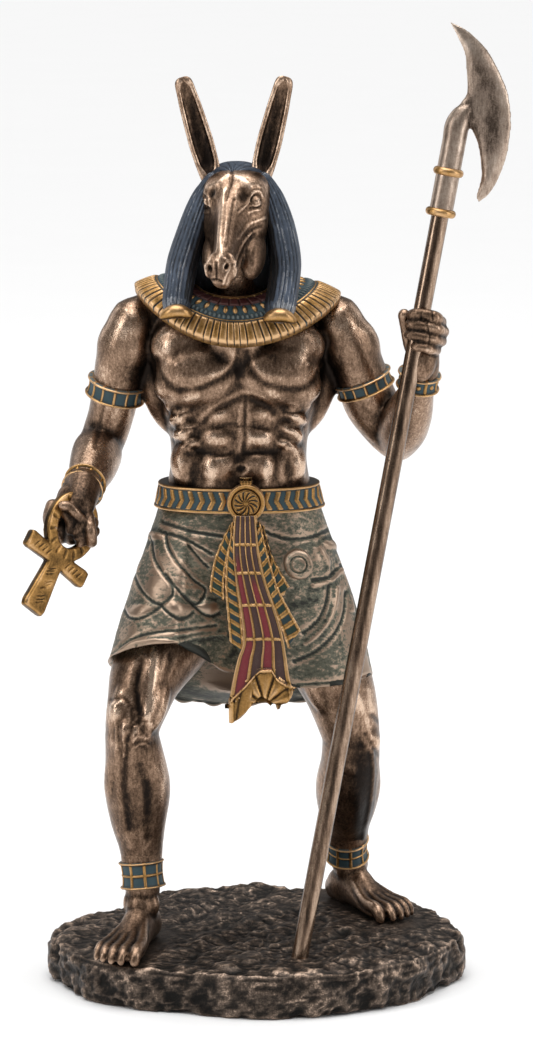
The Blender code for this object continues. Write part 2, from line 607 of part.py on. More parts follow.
def figure():
    clay = bmesh.new()
    torso(clay)
    arm(clay, RIGHT_UPPER_ARM, RIGHT_FOREARM, -1)
    arm(clay, LEFT_UPPER_ARM, LEFT_FOREARM, 1)
    leg(clay, RIGHT_THIGH, RIGHT_SHIN, LEG_FRONT)
    leg(clay, LEFT_THIGH, LEFT_SHIN, LEG_FRONT)
    foot(clay, Vector((-30, -5, 0)), Vector((-40, -42, 0)), 1)
    foot(clay, Vector((24.5, 40, 0)), Vector((46, 8, 0)), -1)
    left_fist(clay)
    right_fist(clay)
    head(clay)
    wig(clay)
    collar(clay)
    kilt(clay)
    belt(clay)
    apron(clay)
    bands(clay)
    made = solid("figure", clay, "bronze")
    merge = made.modifiers.new("merge", "REMESH")
    merge.mode = "VOXEL"
    merge.voxel_size = CLAY_GRAIN
    soften = made.modifiers.new("soften", "SMOOTH")
    soften.factor = 0.5
    soften.iterations = CLAY_SMOOTHING
    thin = made.modifiers.new("thin", "DECIMATE")
    thin.ratio = FIGURE_TRIANGLES_SHARE
    thin.use_collapse_triangulate = True
    for name in EAR_ROOTS:
        add(made, ear(name))
    cut(made, rod("fist_bore", FIGURE_HEIGHT * 0.5, FIGURE_HEIGHT * 1.1, SHAFT_RADIUS + SEAT_GAP, "bronze"))
    cut(made, ankh_solid("fist_slot", SEAT_GAP))
    ground = bmesh.new()
    below = Matrix.Translation((0, 0, BASE_THICKNESS + SEAT_GAP - FIGURE_HEIGHT / 2))
    bmesh.ops.create_cube(ground, size=FIGURE_HEIGHT, matrix=below)
    cut(made, solid("sole_plane", ground, "bronze"))
    return made


def ankh_solid(name, grow=0.0):
    """The ankh as one bar: loop, side arms and foot. Grow swells it all round, for the slot in the fist."""
    crossing, rise, arm, out = ankh_axes()
    half = ANKH_THICKNESS / 2 + grow
    bar = ANKH_BAR / 2 + grow
    long, wide = ANKH_LOOP_LENGTH / 2, ANKH_LOOP_WIDTH / 2
    centre = crossing + rise * (long + ANKH_BAR * 0.6)
    clay = bmesh.new()
    turns, sides = 28, 8
    loops = []
    for i in range(turns):
        turn = math.tau * i / turns
        ray = (rise * math.cos(turn) * wide + arm * math.sin(turn) * long).normalized()
        middle = centre + rise * math.cos(turn) * long + arm * math.sin(turn) * wide
        loops.append([
            clay.verts.new(middle + ray * bar * math.cos(a) + out * half * math.sin(a))
            for a in (math.tau * (k + 0.5) / sides for k in range(sides))
        ])
    for a, b in zip(loops, loops[1:] + loops[:1]):
        for i in range(sides):
            j = (i + 1) % sides
            clay.faces.new((a[i], a[j], b[j], b[i]))
    loop = solid(name, clay, "gold")
    for label, way, length, root, end in (
        ("foot", -rise, ANKH_FOOT, 1.5, 2.15), ("arm_a", arm, ANKH_ARM, 1.15, 1.4), ("arm_b", -arm, ANKH_ARM, 1.15, 1.4),
        ("neck", rise, ANKH_BAR, 1.2, 1.2),
    ):
        across = way.cross(out).normalized()
        bar_clay = bmesh.new()
        rings = []
        for share, wide in ((-0.12, root), (0.15, root), (0.92, end), (1.0, end * 0.86)):
            middle = crossing + way * length * share
            thick = half * (1.0 if share < 0.95 else 0.8)
            if share > 0.95:
                middle += way * grow
            rings.append([middle + across * bar * wide * a + out * thick * b
                          for a, b in ((1, 0.7), (0.75, 1), (-0.75, 1), (-1, 0.7), (-1, -0.7), (-0.75, -1), (0.75, -1), (1, -0.7))])
        skin(bar_clay, rings)
        add(loop, solid(name + "_" + label, bar_clay, "gold"))
    return loop


def staff_shaft():
    made = rod("staff_shaft", -SHAFT_SEAT_DEPTH + SEAT_GAP, SHAFT_LENGTH, SHAFT_RADIUS, "shaft_bronze")
    edge = made.modifiers.new("edge", "BEVEL")
    edge.width = SHAFT_DIAMETER * 0.06
    edge.segments = 1
    edge.limit_method = "ANGLE"
    return made


# The blade's outline, across and along the shaft from its top ring, as shares of the blade's length
BLADE_LENGTH = 0.0508
BLADE_RISE = 0.0011
BLADE_OUTER = [(-0.160, 0.832), (-0.032, 0.786), (0.088, 0.704), (0.186, 0.588), (0.254, 0.480), (0.296, 0.354),
               (0.312, 0.234), (0.312, 0.112), (0.288, -0.016), (0.252, -0.108), (0.204, -0.164)]
BLADE_INNER = [(0.180, -0.130), (0.190, -0.024), (0.172, 0.062), (0.130, 0.174), (0.060, 0.262), (-0.030, 0.300),
               (-0.010, 0.370), (0.018, 0.444), (-0.004, 0.552), (-0.036, 0.660), (-0.100, 0.754)]


def axe_head():
    """The crescent blade on its socket, with a ring at the socket's mouth and one under the blade."""
    line = shaft_line()
    across = (Vector((1, 0, 0)) - line * line.x).normalized()
    out = line.cross(across).normalized()
    radius = SOCKET_DIAMETER / 2
    mouth = SHAFT_LENGTH - SOCKET_DEPTH
    ring_gap = BLADE_LENGTH * 0.28 - RING_WIDTH
    neck = mouth + ring_gap
    made = rod("axe_head", mouth, neck + BLADE_LENGTH * 0.36, radius, "axe_bronze")
    for label, at in (("mouth", mouth + RING_WIDTH), ("neck", neck)):
        clay = bmesh.new()
        turns, sides = 24, 7
        loops = []
        for i in range(turns):
            ray = across * math.cos(math.tau * i / turns) + out * math.sin(math.tau * i / turns)
            loops.append([
                clay.verts.new(shaft_point(at) + ray * (radius + RING_WIDTH * math.cos(a)) + line * RING_WIDTH * math.sin(a))
                for a in (math.tau * (k + 0.5) / sides for k in range(sides))
            ])
        for a, b in zip(loops, loops[1:] + loops[:1]):
            for i in range(sides):
                j = (i + 1) % sides
                clay.faces.new((a[i], a[j], b[j], b[i]))
        add(made, solid("ring_" + label, clay, "gold"))
    clay = bmesh.new()
    outline = BLADE_OUTER + BLADE_INNER
    inner_count = len(BLADE_INNER)
    middle = []
    for k, (a, b) in enumerate(BLADE_OUTER):
        back = BLADE_INNER[inner_count - 1 - k] if k < inner_count else BLADE_INNER[0]
        middle.append(((a + back[0]) / 2, (b + back[1]) / 2))
    def place(point, height):
        return shaft_point(neck + BLADE_RISE) + (across * point[0] + line * point[1]) * BLADE_LENGTH + out * height
    rim = [clay.verts.new(place(p, 0)) for p in outline]
    top = [clay.verts.new(place(p, BLADE_THICKNESS / 2 * (0.25 if k in (0, len(middle) - 1) else 1)))
           for k, p in enumerate(middle)]
    low = [clay.verts.new(place(p, -BLADE_THICKNESS / 2 * (0.25 if k in (0, len(middle) - 1) else 1)))
           for k, p in enumerate(middle)]
    for spine, way in ((top, 1), (low, -1)):
        for k in range(len(middle) - 1):
            quads = [(rim[k], rim[k + 1], spine[k + 1], spine[k])]
            back_a, back_b = len(outline) - 1 - k, len(outline) - 2 - k
            quads.append((spine[k], spine[k + 1], rim[back_b], rim[back_a]))
            for quad in quads:
                clay.faces.new(quad[::way])
        ends = ((rim[0], spine[0], rim[-1]), (rim[len(middle) - 1], rim[len(middle)], spine[-1]))
        for end in ends:
            clay.faces.new(end[::way])
    add(made, solid("blade", clay, "axe_bronze"))
    bore = rod("socket_bore", mouth - BLADE_LENGTH * 0.2, SHAFT_LENGTH + SEAT_GAP, SHAFT_RADIUS + SEAT_GAP, "axe_bronze")
    cut(made, bore)
    return made


def wave(x, y, seed):
    """Even, repeatable unevenness between -1 and 1."""
    return (math.sin(x * 1.7 + seed) * math.cos(y * 1.3 - seed * 0.7)
            + 0.6 * math.sin(x * 3.9 - y * 2.8 + seed * 1.9) + 0.4 * math.cos(x * 5.3 + y * 6.1 + seed)) / 2


FEET = [((-30, -5), (-40, -42)), ((24.5, 40), (46, 8)), ((14, -32.4), (14, -32.4))]


def clear_of_feet(x, y):
    """0 under the feet and the shaft, rising to 1 away from them."""
    nearest = 1e9
    for start, end in FEET:
        a, b = Vector(start) * MM, Vector(end) * MM
        line = b - a
        share = max(0, min(1, (Vector((x, y)) - a).dot(line) / max(line.length_squared, 1e-12)))
        nearest = min(nearest, (Vector((x, y)) - a - line * share).length)
    return max(0, min(1, (nearest - 11 * MM) / (8 * MM)))


OUTLINE = [
    (64, -4), (60, 14), (53, 29), (43, 44), (28, 49.5), (14.8, 50.5), (-0.9, 54), (-14, 52.5), (-27.5, 49), (-36, 38),
    (-44, 26), (-53, 15), (-59, 5), (-61.5, -6), (-57.5, -19), (-49.5, -32), (-39, -40.5), (-22, -47), (-0.6, -52.5),
    (14, -52), (30, -47.5), (42, -40), (51, -32), (59, -18),
]


def rock_base():
    """A rough slab with an uneven outline, flat underneath and level under the feet."""
    sides = 52
    relief = BASE_THICKNESS * 0.13
    outline = [around([(x / 128 * BASE_WIDTH, y / 108 * BASE_DEPTH, 0) for x, y in OUTLINE], i / sides)
               for i in range(sides)]
    clay = bmesh.new()
    rings = []
    for inset, height in ((0.985, 0.0), (1.0, 0.2), (1.005, 0.5), (1.0, 0.8), (0.98, 0.95)):
        rings.append([
            Vector((p.x, p.y, 0)) * inset * (1 + 0.008 * wave(p.x * 180, p.y * 180, height * 5))
            + UP * BASE_THICKNESS * height for p in outline
        ])
    for inset in (0.91, 0.84, 0.75, 0.64, 0.52, 0.4, 0.28, 0.14):
        ring = []
        for p in outline:
            x, y = p.x * inset, p.y * inset
            lift = relief * wave(x * 110, y * 110, 2) * clear_of_feet(x, y)
            ring.append(Vector((x, y, BASE_THICKNESS + lift)))
        rings.append(ring)
    skin(clay, rings)
    made = solid("rock_base", clay, "dark_bronze")
    seat = rod("shaft_seat", -SHAFT_SEAT_DEPTH, SHAFT_SEAT_DEPTH * 2, SHAFT_RADIUS + SEAT_GAP, "dark_bronze")
    cut(made, seat)
    return made


def build():
    clear_scene()
    rock_base()
    figure()
    staff_shaft()
    axe_head()
    ankh_solid("ankh")


build()
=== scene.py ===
"""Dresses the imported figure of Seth: an animal-headed man in cold-cast bronze with an ankh and an axe.

Shapes are worked in millimetres above the figure's soles, the way that the solids are, and turned into
metres when a piece is finished. Soft masses are merged from overlapping shells on a fine grid, carved
relief is pushed out of their skin, and dress and trim are skins woven from rows of points.
"""

from __future__ import annotations

import json
import logging
import math
import re
from dataclasses import dataclass
from enum import Enum
from typing import Callable, Optional, Sequence, Union

import bmesh
import bpy
import numpy as np
from mathutils import Matrix, Vector

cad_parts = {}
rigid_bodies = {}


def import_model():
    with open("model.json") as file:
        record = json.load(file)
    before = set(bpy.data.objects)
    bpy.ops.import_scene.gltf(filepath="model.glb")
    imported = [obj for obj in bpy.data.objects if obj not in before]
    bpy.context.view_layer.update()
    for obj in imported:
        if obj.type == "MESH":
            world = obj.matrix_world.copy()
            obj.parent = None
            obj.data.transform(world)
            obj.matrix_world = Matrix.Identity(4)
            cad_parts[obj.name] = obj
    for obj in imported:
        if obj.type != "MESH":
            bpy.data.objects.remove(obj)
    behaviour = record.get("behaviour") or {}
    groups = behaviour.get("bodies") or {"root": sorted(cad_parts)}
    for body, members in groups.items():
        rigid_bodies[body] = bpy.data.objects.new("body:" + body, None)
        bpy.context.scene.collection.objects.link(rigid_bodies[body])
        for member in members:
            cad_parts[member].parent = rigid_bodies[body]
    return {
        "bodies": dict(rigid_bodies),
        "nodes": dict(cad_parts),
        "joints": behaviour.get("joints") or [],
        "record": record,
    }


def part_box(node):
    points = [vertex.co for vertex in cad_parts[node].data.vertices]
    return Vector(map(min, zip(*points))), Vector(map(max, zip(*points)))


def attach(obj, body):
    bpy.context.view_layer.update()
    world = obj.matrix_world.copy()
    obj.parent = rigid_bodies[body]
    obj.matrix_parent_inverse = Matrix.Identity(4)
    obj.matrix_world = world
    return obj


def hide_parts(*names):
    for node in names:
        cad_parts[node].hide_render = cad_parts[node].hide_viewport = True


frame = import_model()
LOG = logging.getLogger("seth")
LIFT = 13.3                    # height of the soles above the base's underside, in mm
MM = 0.001
UP = np.array((0.0, 0.0, 1.0))
BACK = np.array((0.0, 1.0, 0.0))
RIGHTWARDS = np.array((1.0, 0.0, 0.0))

Array = np.ndarray
Pixels = Sequence[tuple[float, float]]
Linkable = Union["Wire", float, int, tuple, bool]


def vec(*numbers: float) -> Array:
    """A point or direction as an array."""
    return np.array(numbers, float)


def unit(vector: Array) -> Array:
    """The vector, or each row of vectors, at length 1."""
    length = np.linalg.norm(vector, axis=-1, keepdims=True)
    return vector / np.maximum(length, 1e-12)


def table(text: str) -> tuple[tuple[float, ...], ...]:
    """Rows of numbers from text, with commas inside a row and spaces between rows."""
    return tuple(tuple(float(number) for number in row.split(",")) for row in text.split())


def circle(count: int) -> Array:
    """Angles of even steps once round."""
    return np.linspace(0, math.tau, count, endpoint=False)


def hoop(turn: Array, first: Array, second: Array) -> Array:
    """Points at angles round a middle: first lies at no turn, and second at a quarter of one."""
    return np.outer(np.cos(turn), first) + np.outer(np.sin(turn), second)


def woven_faces(high: int, wide: int, around: bool = True, loop: bool = False) -> list[list[int]]:
    """The faces between rows of points.

    Args:
        high: How many rows there are.
        wide: Points in a row.
        around: Whether each row closes on itself.
        loop: Whether the last row leads back to the first.

    Returns:
        Four point numbers for each face.
    """
    index = np.arange(high * wide).reshape(high, wide)
    beside, above = np.roll(index, -1, axis=1), np.roll(index, -1, axis=0)
    quads = np.stack([index, beside, np.roll(above, -1, axis=1), above], axis=-1)
    quads = quads if loop else quads[:-1]
    return (quads if around else quads[:, :-1]).reshape(-1, 4).tolist()


def outward(mesh: bpy.types.Mesh) -> None:
    """Turns all faces of a mesh outwards.

    Args:
        mesh: A closed mesh.
    """
    work = bmesh.new()
    work.from_mesh(mesh)
    bmesh.ops.recalc_face_normals(work, faces=work.faces)
    work.to_mesh(mesh)
    work.free()


def smooth_path(stations: Sequence, count: int, closed: bool = False) -> Array:
    """Samples the smooth curve through some stations.

    Args:
        stations: Rows of numbers that the curve passes through.
        count: How many rows to return.
        closed: Whether the last station leads back to the first.

    Returns:
        Rows on the curve, from the first station on.
    """
    rows = np.asarray(stations, float)
    total = len(rows)
    last = total if closed else total - 1
    place = np.linspace(0, last, count, endpoint=not closed)
    start = np.minimum(place.astype(int), last - 1)
    share = (place - start)[:, None]

    def pick(step: int) -> Array:
        """The stations that lie step places on."""
        index = start + step
        return rows[index % total] if closed else rows[np.clip(index, 0, total - 1)]

    a, b, c, d = pick(-1), pick(0), pick(1), pick(2)
    return 0.5 * (2 * b + (c - a) * share + (2 * a - 5 * b + 4 * c - d) * share ** 2
                  + (3 * b - a - 3 * c + d) * share ** 3)


def rounded_ramp(value: Array, low: float, high: float) -> Array:
    """Runs smoothly from 0 at low to 1 at high."""
    share = np.clip((value - low) / (high - low), 0, 1)
    return share * share * (3 - 2 * share)


def ridge(value: Array, middle: float, half: float) -> Array:
    """A round-topped ridge of height 1 about a middle."""
    return np.clip(1 - ((value - middle) / half) ** 2, 0, None) ** 0.5


def uneven(points: Array, size: float, seed: float = 0.0, octaves: int = 3) -> Array:
    """Repeatable unevenness over points.

    Args:
        points: Rows of three coordinates.
        size: Spacing of the largest lumps, in the points' own unit.
        seed: Moves the pattern.
        octaves: How many finer layers are added.

    Returns:
        A value from about -1 to 1 for each point.
    """
    total = np.zeros(len(points))
    strength, norm = 1.0, 0.0
    for octave in range(octaves):
        place = points / size * 2 ** octave + seed * 17.31 + octave * 5.7
        cell = np.floor(place)
        share = place - cell
        share = share * share * (3 - 2 * share)
        layer = np.zeros(len(points))
        for corner in range(8):
            step = np.array([(corner >> axis) & 1 for axis in range(3)])
            weight = np.prod(np.where(step, share, 1 - share), axis=1)
            mixed = (cell + step) @ np.array((127.1, 311.7, 74.7))
            layer += weight * ((np.sin(mixed) * 43758.5453) % 1.0)
        layer = layer * 2 - 1
        total += layer * strength
        norm += strength
        strength *= 0.55
    return total / norm


@dataclass(frozen=True)
class Viewpoint:
    """The photograph's camera, in millimetres, and how it draws a point."""

    distance: float = 1393.5
    height: float = 392.0
    side: float = 4.2647
    pitch: float = 10.29
    focal: float = 4745.0
    centre: tuple[float, float] = (266.5, 520.5)

    def toward(self) -> Array:
        """The direction from the figure to the camera."""
        pitch = math.radians(self.pitch)
        return vec(0, -math.cos(pitch), math.sin(pitch))

    def project(self, points: Array) -> Array:
        """Where points fall on the photograph.

        Args:
            points: Rows of x, y and z in millimetres above the soles.

        Returns:
            Rows of pixels across and down.
        """
        c, s = math.cos(math.radians(self.pitch)), math.sin(math.radians(self.pitch))
        y = points[:, 1] + self.distance
        z = points[:, 2] + LIFT - self.height
        depth = y * c - z * s
        across = self.centre[0] + (points[:, 0] - self.side) / depth * self.focal
        down = self.centre[1] - (y * s + z * c) / depth * self.focal
        return np.stack([across, down], axis=1)

    def place(self, pixels: Array, surface: Callable[[Array, Array], Array]) -> Array:
        """The points that pixels show on a surface.

        Args:
            pixels: Rows of pixels across and down.
            surface: Gives y from x and z.

        Returns:
            Rows of x, y and z in millimetres above the soles.
        """
        c, s = math.cos(math.radians(self.pitch)), math.sin(math.radians(self.pitch))
        slope = (self.centre[1] - pixels[:, 1]) / self.focal
        y = np.full(len(pixels), -20.0)  # a first guess, in front of the middle
        for _ in range(6):
            z = (y + self.distance) * (slope * c - s) / (c + slope * s)
            depth = (y + self.distance) * c - z * s
            x = (pixels[:, 0] - self.centre[0]) * depth / self.focal + self.side
            y = surface(x, z + self.height - LIFT)
        z = (y + self.distance) * (slope * c - s) / (c + slope * s)
        return np.stack([x, y, z + self.height - LIFT], axis=1)


PHOTO = Viewpoint()


# Materials


def _operator(operation: str, turned: bool = False) -> Callable[["Wire", Linkable], "Wire"]:
    """An arithmetic method of Wire that adds one Math node, with its two values turned round if asked.

    Args:
        operation: The Math node's operation.
        turned: Puts the other value first.

    Returns:
        The method.
    """
    def added(self: "Wire", other: Linkable) -> "Wire":
        """The result's wire."""
        pair = (other, self) if turned else (self, other)
        return self.board.node("ShaderNodeMath", {"operation": operation}, dict(enumerate(pair)))
    return added


class Wire:
    """A value on its way through a material. Arithmetic on it adds Math nodes."""

    def __init__(self, board: "Board", socket: bpy.types.NodeSocket) -> None:
        """Holds a node's output socket and the board that it is on.

        Args:
            board: The board.
            socket: The output socket.
        """
        self.board = board
        self.socket = socket

    __add__ = __radd__ = _operator("ADD")
    __sub__ = _operator("SUBTRACT")
    __rsub__ = _operator("SUBTRACT", turned=True)
    __mul__ = __rmul__ = _operator("MULTIPLY")

    def clamped(self) -> "Wire":
        """The value held between 0 and 1."""
        return self.board.node("ShaderNodeClamp", {}, {"Value": self})

    def between(self, low: float, high: float) -> "Wire":
        """The value's share of the way from low to high, smoothed and held between 0 and 1."""
        return self.board.node("ShaderNodeMapRange", {"interpolation_type": "SMOOTHSTEP"},
                               {"Value": self, "From Min": low, "From Max": high})


class Board:
    """The node board of one material."""

    def __init__(self, name: str) -> None:
        """Starts a new material with an empty Principled shader.

        Args:
            name: The material's name.
        """
        self.material = bpy.data.materials.new(name)
        self.material.use_nodes = True
        self.tree = self.material.node_tree
        self.shader = self.tree.nodes["Principled BSDF"]

    def node(self, kind: str, settings: Optional[dict] = None, sockets: Optional[dict] = None,
             output: Union[int, str] = 0) -> Wire:
        """Adds any node.

        Args:
            kind: The node's type.
            settings: What is set on the node itself, such as its operation or a ramp's stops.
            sockets: A value or a Wire for each input, by name or by number.
            output: Which output is returned.

        Returns:
            The output as a Wire.
        """
        made = self.tree.nodes.new(kind)
        for key, value in (settings or {}).items():
            if key == "stops":
                marks = made.color_ramp.elements
                while len(marks) < len(value):
                    marks.new(0.5)
                for mark, (place, colour) in zip(marks, value):
                    mark.position = place
                    mark.color = (*colour, 1.0)
            else:
                setattr(made, key, value)
        for key, value in (sockets or {}).items():
            if isinstance(value, Wire):
                self.tree.links.new(value.socket, made.inputs[key])
            else:
                made.inputs[key].default_value = value
        return Wire(self, made.outputs[output])

    def place(self, stretch: tuple[float, float, float] = (1, 1, 1)) -> Wire:
        """The object's own coordinates in metres, scaled along each axis.

        Args:
            stretch: Factor along each axis.

        Returns:
            The coordinates.
        """
        spot = self.node("ShaderNodeTexCoord", output="Object")
        if stretch == (1, 1, 1):
            return spot
        return self.node("ShaderNodeVectorMath", {"operation": "MULTIPLY"}, {0: spot, 1: stretch})

    def noise(self, size: float, detail: float = 3.0, rough: float = 0.55,
              stretch: tuple[float, float, float] = (1, 1, 1)) -> Wire:
        """Soft noise with lumps of a size in mm, from 0 to 1.

        Args:
            size: Size of a lump.
            detail: Number of finer layers.
            rough: Strength of the finer layers.
            stretch: Factor along each axis.

        Returns:
            The noise.
        """
        return self.node("ShaderNodeTexNoise", {}, {
            "Vector": self.place(stretch), "Scale": 1000.0 / size, "Detail": detail, "Roughness": rough})

    def mask(self, name: str) -> Wire:
        """A number that the mesh carries at each point."""
        return self.node("ShaderNodeAttribute", {"attribute_name": name}, output="Fac")

    def ramp(self, value: Wire, stops: Sequence[tuple[float, tuple[float, float, float]]]) -> Wire:
        """Colours along a value."""
        return self.node("ShaderNodeValToRGB", {"stops": stops}, {"Fac": value})

    def blend(self, first: Linkable, second: Linkable, share: Linkable) -> Wire:
        """Mixes two colours by a share from 0 to 1.

        Args:
            first: Colour where the share is 0.
            second: Colour where it is 1.
            share: The share.

        Returns:
            The mixed colour.
        """
        first, second = ((*c, 1.0) if isinstance(c, tuple) and len(c) == 3 else c for c in (first, second))
        return self.node("ShaderNodeMix", {"data_type": "RGBA", "clamp_factor": True},
                         {0: share, 6: first, 7: second}, output=2)

    def bump(self, height: Wire, strength: float, depth: float) -> Wire:
        """A Normal from a height, whose full range stands depth millimetres high."""
        return self.node("ShaderNodeBump", {}, {"Height": height, "Strength": strength, "Distance": depth * MM})

    def finish(self, **inputs: Linkable) -> bpy.types.Material:
        """Feeds the shader.

        Args:
            **inputs: A value or Wire for each of its inputs, with _ for a space.

        Returns:
            The finished material.
        """
        for key, value in inputs.items():
            socket = self.shader.inputs[key.replace("_", " ")]
            if isinstance(value, Wire):
                self.tree.links.new(value.socket, socket)
            else:
                socket.default_value = value
        return self.material


Colour = tuple[float, float, float]


@dataclass(frozen=True)
class Bronze:
    """Cold-cast bronze, dark in its hollows and rubbed bright on what stands out."""

    name: str
    pit: Colour = (0.012, 0.008, 0.006)
    dark: Colour = (0.042, 0.026, 0.017)
    middle: Colour = (0.14, 0.086, 0.055)
    bright: Colour = (0.33, 0.215, 0.145)
    edge: Colour = (0.68, 0.495, 0.365)
    # Moves the whole tone lighter or darker.
    tone_shift: float = 0.0
    grain: float = 0.8
    roughness: float = 0.31
    depth: float = 0.16
    brushed: tuple[float, float, float] = (1.0, 1.0, 0.5)
    metallic: float = 0.92

    def made(self) -> bpy.types.Material:
        """Builds the material."""
        board = Board(self.name)
        # The relief mask holds patina, dark in hollows and rubbed bright on edges, plus painted highlights and
        # painted shade.
        relief = board.mask("relief")
        streaks = board.noise(self.grain, 3.0, 0.6, self.brushed)
        blotch = board.noise(9.0, 2.0, 0.5)
        speck = board.noise(0.45, 2.0, 0.6)
        tone = (relief + (streaks - 0.5) * 0.6 + (blotch - 0.5) * 0.42 + (speck - 0.5) * 0.4
                + self.tone_shift).clamped()
        colour = board.ramp(tone, [(0.12, self.pit), (0.32, self.dark), (0.52, self.middle),
                                   (0.74, self.bright), (0.93, self.edge)])
        rough = (self.roughness + (speck - 0.5) * 0.16 + (0.5 - tone) * 0.16).clamped()
        normal = board.bump(streaks * 0.5 + speck * 0.5, 0.85, self.depth)
        return board.finish(Base_Color=colour, Metallic=self.metallic, Roughness=rough, Normal=normal)


@dataclass(frozen=True)
class Wash:
    """A thin coloured wash over bronze: colour lies in the hollows and bronze shows where it is rubbed."""

    name: str
    wash: Colour
    deep: Colour
    rub: Colour = (0.42, 0.3, 0.22)
    rubbed: float = 0.66
    grain: float = 1.1
    brushed: tuple[float, float, float] = (1.0, 1.0, 0.3)
    metallic: float = 0.55

    def made(self) -> bpy.types.Material:
        """Builds the material."""
        board = Board(self.name)
        # The relief mask holds the hollows and rubbed edges, plus painted highlights and painted shade.
        relief = board.mask("relief")
        streaks = board.noise(self.grain, 3.0, 0.62, self.brushed)
        blotch = board.noise(11.0, 2.0, 0.5)
        speck = board.noise(0.5, 2.0, 0.6)
        height = relief + (streaks - 0.5) * 0.85 + (speck - 0.5) * 0.35
        rubbed_and_painted_light = (height + (blotch - 0.5) * 0.35).between(self.rubbed, self.rubbed + 0.24)
        low = height.between(0.22, 0.56)
        pale = board.blend(self.wash, tuple(min(1.0, c * 1.9 + 0.01) for c in self.wash),
                           blotch.between(0.42, 0.8))
        colour = board.blend(board.blend(self.deep, pale, low), self.rub, rubbed_and_painted_light)
        metal = (rubbed_and_painted_light * (0.92 - self.metallic) + self.metallic).clamped()
        rough = (0.5 + (speck - 0.5) * 0.2 - rubbed_and_painted_light * 0.14).clamped()
        normal = board.bump(streaks * 0.6 + speck * 0.4, 0.7, 0.11)
        return board.finish(Base_Color=colour, Metallic=metal, Roughness=rough, Normal=normal)


@dataclass(frozen=True)
class Enamel:
    """Gold relief with colour laid between its ribs, and dark in the corners."""

    name: str
    first: Colour
    second: Colour
    gold: Colour = (0.37, 0.2, 0.062)
    shade: Colour = (0.03, 0.018, 0.01)

    def made(self) -> bpy.types.Material:
        """Builds the material."""
        board = Board(self.name)
        # The relief mask holds the hollows and raised ribs, plus painted highlights and painted shade.
        relief, metal, tint = board.mask("relief"), board.mask("gold"), board.mask("tint")
        speck = board.noise(0.5, 2.0, 0.6)
        blotch = board.noise(3.0, 2.0, 0.5)
        height = (relief + (speck - 0.5) * 0.34 + (blotch - 0.5) * 0.16).clamped()
        paint = board.blend(self.first, self.second, tint)
        paint = board.blend(paint, board.blend(paint, (0.55, 0.5, 0.42), 0.22), height.between(0.5, 0.95))
        paint = board.blend(board.blend(paint, self.shade, 0.72), paint, height.between(0.2, 0.5))
        leaf = board.ramp(height, [(0.2, self.shade), (0.38, tuple(c * 0.34 for c in self.gold)),
                                   (0.6, self.gold), (0.92, tuple(min(1.0, c * 1.45 + 0.13)
                                                                  for c in self.gold))])
        share = (metal + (speck - 0.5) * 0.25).between(0.35, 0.6)
        rough = (0.52 - share * 0.16 + (speck - 0.5) * 0.2).clamped()
        normal = board.bump(speck * 0.6 + blotch * 0.4, 0.5, 0.08)
        return board.finish(Base_Color=board.blend(paint, leaf, share), Metallic=(share * 0.6 + 0.3).clamped(),
                            Roughness=rough, Normal=normal)


@dataclass(frozen=True)
class Studio:
    """The pale floor's finish."""

    name: str = "pale_floor"
    colour: Colour = (0.88, 0.88, 0.88)

    def made(self) -> bpy.types.Material:
        """Builds the material."""
        board = Board(self.name)
        haze = board.noise(60.0, 2.0, 0.5)
        colour = board.blend(self.colour, tuple(c * 0.985 for c in self.colour), haze)
        return board.finish(Base_Color=colour, Roughness=0.85)


class Finish(Enum):
    """The finishes of the statue, each with its own recipe."""

    SKIN = Bronze("skin_bronze")
    # The face's tone is shifted lighter and the hands' darker than the body's.
    FACE = Bronze("face_bronze", tone_shift=0.11, grain=0.7, roughness=0.38, depth=0.06)
    HAND = Bronze("hand_bronze", tone_shift=-0.05, grain=0.7, roughness=0.38, depth=0.07, brushed=(1.0, 1.0, 0.6))
    SHAFT = Bronze("rod_bronze", pit=(0.016, 0.011, 0.008), dark=(0.046, 0.03, 0.02),
                   middle=(0.112, 0.072, 0.049),
                   bright=(0.245, 0.165, 0.114), edge=(0.43, 0.31, 0.225), grain=0.6, roughness=0.24,
                   depth=0.02,
                   brushed=(1.0, 1.0, 0.1))
    BLADE = Bronze("blade_bronze", pit=(0.04, 0.028, 0.021), dark=(0.105, 0.076, 0.058),
                   middle=(0.3, 0.225, 0.175),
                   bright=(0.48, 0.38, 0.305), edge=(0.72, 0.59, 0.49), grain=0.6, roughness=0.36, depth=0.05,
                   brushed=(1.0, 1.0, 0.25))
    ROCK = Bronze("rock_bronze", pit=(0.006, 0.005, 0.004), dark=(0.022, 0.016, 0.012),
                  middle=(0.056, 0.041, 0.031),
                  bright=(0.135, 0.098, 0.074), edge=(0.46, 0.335, 0.25), tone_shift=-0.03, grain=0.9, roughness=0.46,
                  depth=0.22, brushed=(1.0, 1.0, 1.0), metallic=0.7)
    HAIR = Wash("hair_wash", wash=(0.04, 0.053, 0.076), deep=(0.007, 0.008, 0.01), rub=(0.29, 0.3, 0.32),
                rubbed=0.7, grain=0.8, brushed=(1.0, 1.0, 0.15), metallic=0.35)
    CLOTH = Wash("kilt_wash", wash=(0.092, 0.092, 0.064), deep=(0.018, 0.019, 0.014), rub=(0.38, 0.275, 0.2),
                 rubbed=0.5, grain=0.9, brushed=(0.45, 1.0, 1.0), metallic=0.45)
    TRIM = Enamel("teal_enamel", first=(0.03, 0.062, 0.074), second=(0.075, 0.018, 0.018))
    DRAPE = Enamel("crimson_enamel", first=(0.052, 0.024, 0.02), second=(0.165, 0.018, 0.024))
    STRIPE = Enamel("striped_enamel", first=(0.012, 0.03, 0.019), second=(0.014, 0.032, 0.036))
    GOLD = Enamel("old_gold", first=(0.085, 0.062, 0.045), second=(0.085, 0.062, 0.045))

    def material(self) -> bpy.types.Material:
        """The finish's material, built once."""
        return bpy.data.materials.get(self.value.name) or self.value.made()


# Shapes


